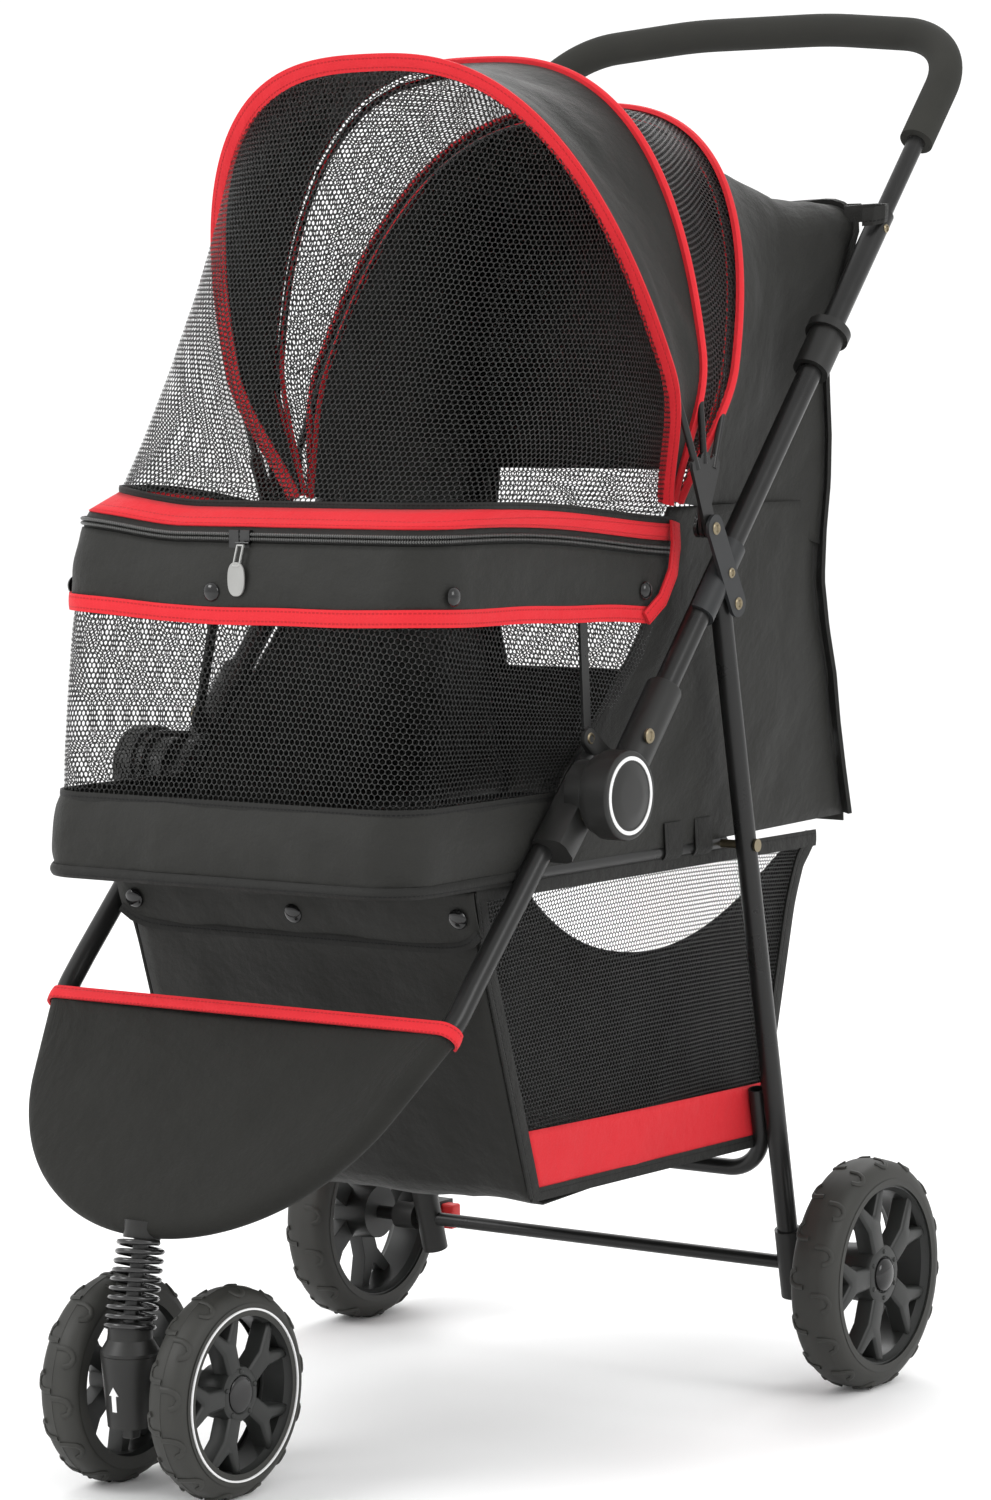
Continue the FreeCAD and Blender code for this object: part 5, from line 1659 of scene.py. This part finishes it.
trim = {
    "matHalf": 0.1425, "matFront": -0.243, "matRear": 0.254, "matZ": 0.399, "matThick": 0.0058,
    "matCorner": 0.028, "quiltRise": 0.0022,
    "loopPlaces": (0.028, 0.067), "loopWidth": 0.022, "loopThick": 0.0014,
    "railX": 0.1472, "railZ": 0.39373, "railR": 0.005,
    "snapRadius": 0.0066, "snapRise": 0.0036, "snapZ": 0.5815, "snapRun": 0.171,
}
pull = {"x": 0.0045, "y": -0.2718, "z": 0.5905, "halfWidth": 0.0068, "halfHeight": 0.0112, "thick": 0.0016}


def makeMat():
    t = trim
    startPiece()
    bpy.ops.mesh.primitive_cube_add(size=1, location=(0, 0, 0))
    mat = namePiece("floorMat")
    size = Vector((2 * t["matHalf"], t["matRear"] - t["matFront"], t["matThick"]))
    centre = Vector((0, (t["matRear"] + t["matFront"]) / 2, t["matZ"] + t["matThick"] / 2))
    placeMesh(mat, Matrix.Translation(centre) @ Matrix.Diagonal((*size, 1.0)))
    editAll(mat)
    bpy.ops.mesh.subdivide(number_cuts=23)
    leaveEdit()
    for vertex in mat.data.vertices:
        # rounded corners, and a crowned top quilted in four fields
        x, y = vertex.co.x, vertex.co.y - centre.y
        innerX, innerY = size.x / 2 - t["matCorner"], size.y / 2 - t["matCorner"]
        if abs(x) > innerX and abs(y) > innerY:
            dx, dy = abs(x) - innerX, abs(y) - innerY
            square = max(dx, dy)
            scale = square / math.hypot(dx, dy)
            vertex.co.x = math.copysign(innerX + dx * scale, x)
            vertex.co.y = centre.y + math.copysign(innerY + dy * scale, y)
        field = abs(math.sin(math.pi * 2 * (y / size.y + 0.5))) ** 0.4 * (1 - (2 * x / size.x) ** 6)
        if vertex.co.z > centre.z:
            vertex.co.z += t["quiltRise"] * field - 0.001
    mat.data.update()
    cleanNormals(mat)
    bevelEdges(mat, 0.0012, 2, 50)
    smooth(mat, 50)
    finishPiece(mat, "matCloth", "side_rails", "cloth_black", "floor_board")


def makeRailLoops():
    t = trim
    railX, railZ = t["railX"], t["railZ"]
    reach = t["railR"] + t["loopThick"] / 2 + 0.0002
    around = [(railX + reach - 0.0012, 0.414)]
    for k in range(13):
        turn = math.radians(15 * k)
        around.append((railX + reach * math.cos(turn), railZ - reach * math.sin(turn)))
    around.append((railX - reach, 0.401))
    for side, sign in sides:
        for k, y in enumerate(t["loopPlaces"]):
            line = polyline([Vector((sign * x, y, z)) for x, z in around])

            def outward(u):
                return heading(line, u, 0.01).cross(Vector((0, sign, 0))).normalized()

            loop = tape(f"railLoop{side}{k + 1}", line, lambda u: Vector((0, 1, 0)), outward, t["loopWidth"],
                        t["loopThick"], 40)
            finishPiece(loop, "hemCloth", "side_rails", "cloth_black")


strap = {                             # from the cabin's top corner round the side tube, on the right
    "line": ((0.150, 0.264, 0.838), (0.160, 0.2635, 0.8385), (0.171, 0.2625, 0.8388), (0.1815, 0.2605, 0.839),
             (0.1905, 0.2555, 0.8385), (0.1925, 0.2475, 0.837), (0.188, 0.2405, 0.8355),
             (0.180, 0.2395, 0.835)),
    "centre": (0.1805, 0.2494, 0.8368),
    "width": 0.013, "thick": 0.0016,
}


def makeStraps():
    for side, sign in sides:
        line = polyline([Vector((sign * x, y, z)) for x, y, z in strap["line"]])
        centre = Vector(strap["centre"])
        centre.x *= sign

        def outward(u):
            point = line(u)
            if abs(point.x) < 0.176 and point.y > 0.25:
                return Vector((0, 1, 0.2)).normalized()
            return (point - centre).normalized()

        across = Vector((0, 0.1, 1)).normalized()
        band = tape("cornerStrap" + side, line, lambda u: across, outward, strap["width"], strap["thick"], 60)
        finishPiece(band, "hemCloth", "upper_frame", "cloth_black")


def makeSnaps():
    t = trim
    z = t["snapZ"]
    places = [("flapSnapMiddle", wallPoint(-0.016, z, 0.0088), Vector((0, -1, -0.12)))]
    for side, sign in sides:
        run = sign * t["snapRun"]
        places.append(("flapSnapCorner" + side, wallPoint(run, z, 0.0088), wallNormal(run, z)))
        places.append(("flapSnapEnd" + side, Vector((sign * 0.1598, -0.018, 0.5765)), Vector((sign, 0, 0))))
    for name, place, outward in places:
        stud = button(name, place, outward, t["snapRadius"], t["snapRise"])
        finishPiece(stud, "glossCap", "upper_frame", "plastic_black")


def makePull():
    # oval tag hung on a square wire link from the slider
    p = pull
    outline = []
    for k in range(40):
        turn = 2 * math.pi * k / 40
        across, rise = squared(math.cos(turn), 0.8), squared(math.sin(turn), 0.8)
        outline.append(Vector((p["x"] + across * p["halfWidth"], p["y"], p["z"] + rise * p["halfHeight"])))
    tag = plate("pullTag", outline, (0, p["thick"], 0))
    selectFaces(tag, lambda centre, normal: abs(normal.y) > 0.9)
    bpy.ops.mesh.inset(thickness=0.0011, depth=-0.0003)
    leaveEdit()
    bevelEdges(tag, 0.00025, 2, 35)
    corners = [(-0.0024, 0.5990, 0.0008), (-0.0024, 0.6125, 0.0055), (0.0024, 0.6125, 0.0055),
               (0.0024, 0.5990, 0.0008), (-0.0024, 0.5990, 0.0008)]
    wire = strip("link", polyline([Vector((p["x"] + x, p["y"] + behind, z)) for x, z, behind in corners]),
                 lambda u: Vector((0, -1, 0)), 0.0012, 0.0012, 48, 0.3, False)
    whole = joinPieces("pullTag", [tag, wire])
    smooth(whole, 40)
    finishPiece(whole, "pullMetal", "zipper_pull", "steel_bright", "zipper_pull")


makeMat()
makeRailLoops()
makeStraps()
makeSnaps()
makePull()
print("stage: trim")

# setting: floor, light and camera

setting = {
    "cameraPlace": (1.8398, -2.62995, 0.7244), "yaw": 0.6046, "pitch": 0.0824, "roll": -0.0035,
    "lens": 109.63,
    "worldLight": 1.12, "floorSize": 60.0,
    # place, power and width of each lamp
    "lamps": (((-1.6, -2.6, 2.6), 60.0, 1.6), ((2.8, -0.4, 2.0), 30.0, 1.4), ((-1.0, 2.4, 2.8), 35.0, 1.8)),
}


def makeFloor():
    startPiece()
    bpy.ops.mesh.primitive_plane_add(size=setting["floorSize"], location=(0, 0, 0))
    floor = namePiece("studioFloor")
    material, tree, shader = newMaterial("studioFloor")
    vector = coordinates(tree)
    tree.links.new(colourMix(tree, noiseNode(tree, vector, 2.0), (0.95, 0.95, 0.95), (0.97, 0.97, 0.97)),
                   shader.inputs["Base Color"])
    setShader(shader, Roughness=0.6, Specular_IOR_Level=0.2)
    floor.data.materials.append(material)


def makeLight():
    world = bpy.data.worlds.new("studioWorld")
    bpy.context.scene.world = world
    world.use_nodes = True
    background = world.node_tree.nodes["Background"]
    background.inputs["Color"].default_value = (1, 1, 1, 1)
    background.inputs["Strength"].default_value = setting["worldLight"]
    for k, (place, power, size) in enumerate(setting["lamps"]):
        lamp = bpy.data.lights.new(f"softbox{k + 1}", "AREA")
        lamp.energy = power
        lamp.size = size
        holder = bpy.data.objects.new(f"softbox{k + 1}", lamp)
        bpy.context.scene.collection.objects.link(holder)
        holder.location = place
        aim = Vector((0, 0, 0.45)) - Vector(place)
        holder.rotation_euler = aim.to_track_quat("-Z", "Y").to_euler()


def makeCamera():
    s = setting
    yaw, pitch, roll = s["yaw"], s["pitch"], s["roll"]
    view = Vector((-math.sin(yaw) * math.cos(pitch), math.cos(yaw) * math.cos(pitch), -math.sin(pitch)))
    right = Vector((math.cos(yaw), math.sin(yaw), 0))
    up = right.cross(view)
    levelRight = right * math.cos(roll) + up * math.sin(roll)
    levelUp = up * math.cos(roll) - right * math.sin(roll)
    data = bpy.data.cameras.new("studioCamera")
    data.lens = s["lens"]
    data.sensor_width = 36
    data.clip_end = 200
    camera = bpy.data.objects.new("studioCamera", data)
    bpy.context.scene.collection.objects.link(camera)
    turn = Matrix((levelRight, levelUp, -view)).transposed().to_4x4()
    camera.matrix_world = Matrix.Translation(Vector(s["cameraPlace"])) @ turn
    bpy.context.scene.camera = camera


makeFloor()
makeLight()
makeCamera()
bpy.context.scene.view_settings.view_transform = "Standard"
print("stage: setting")
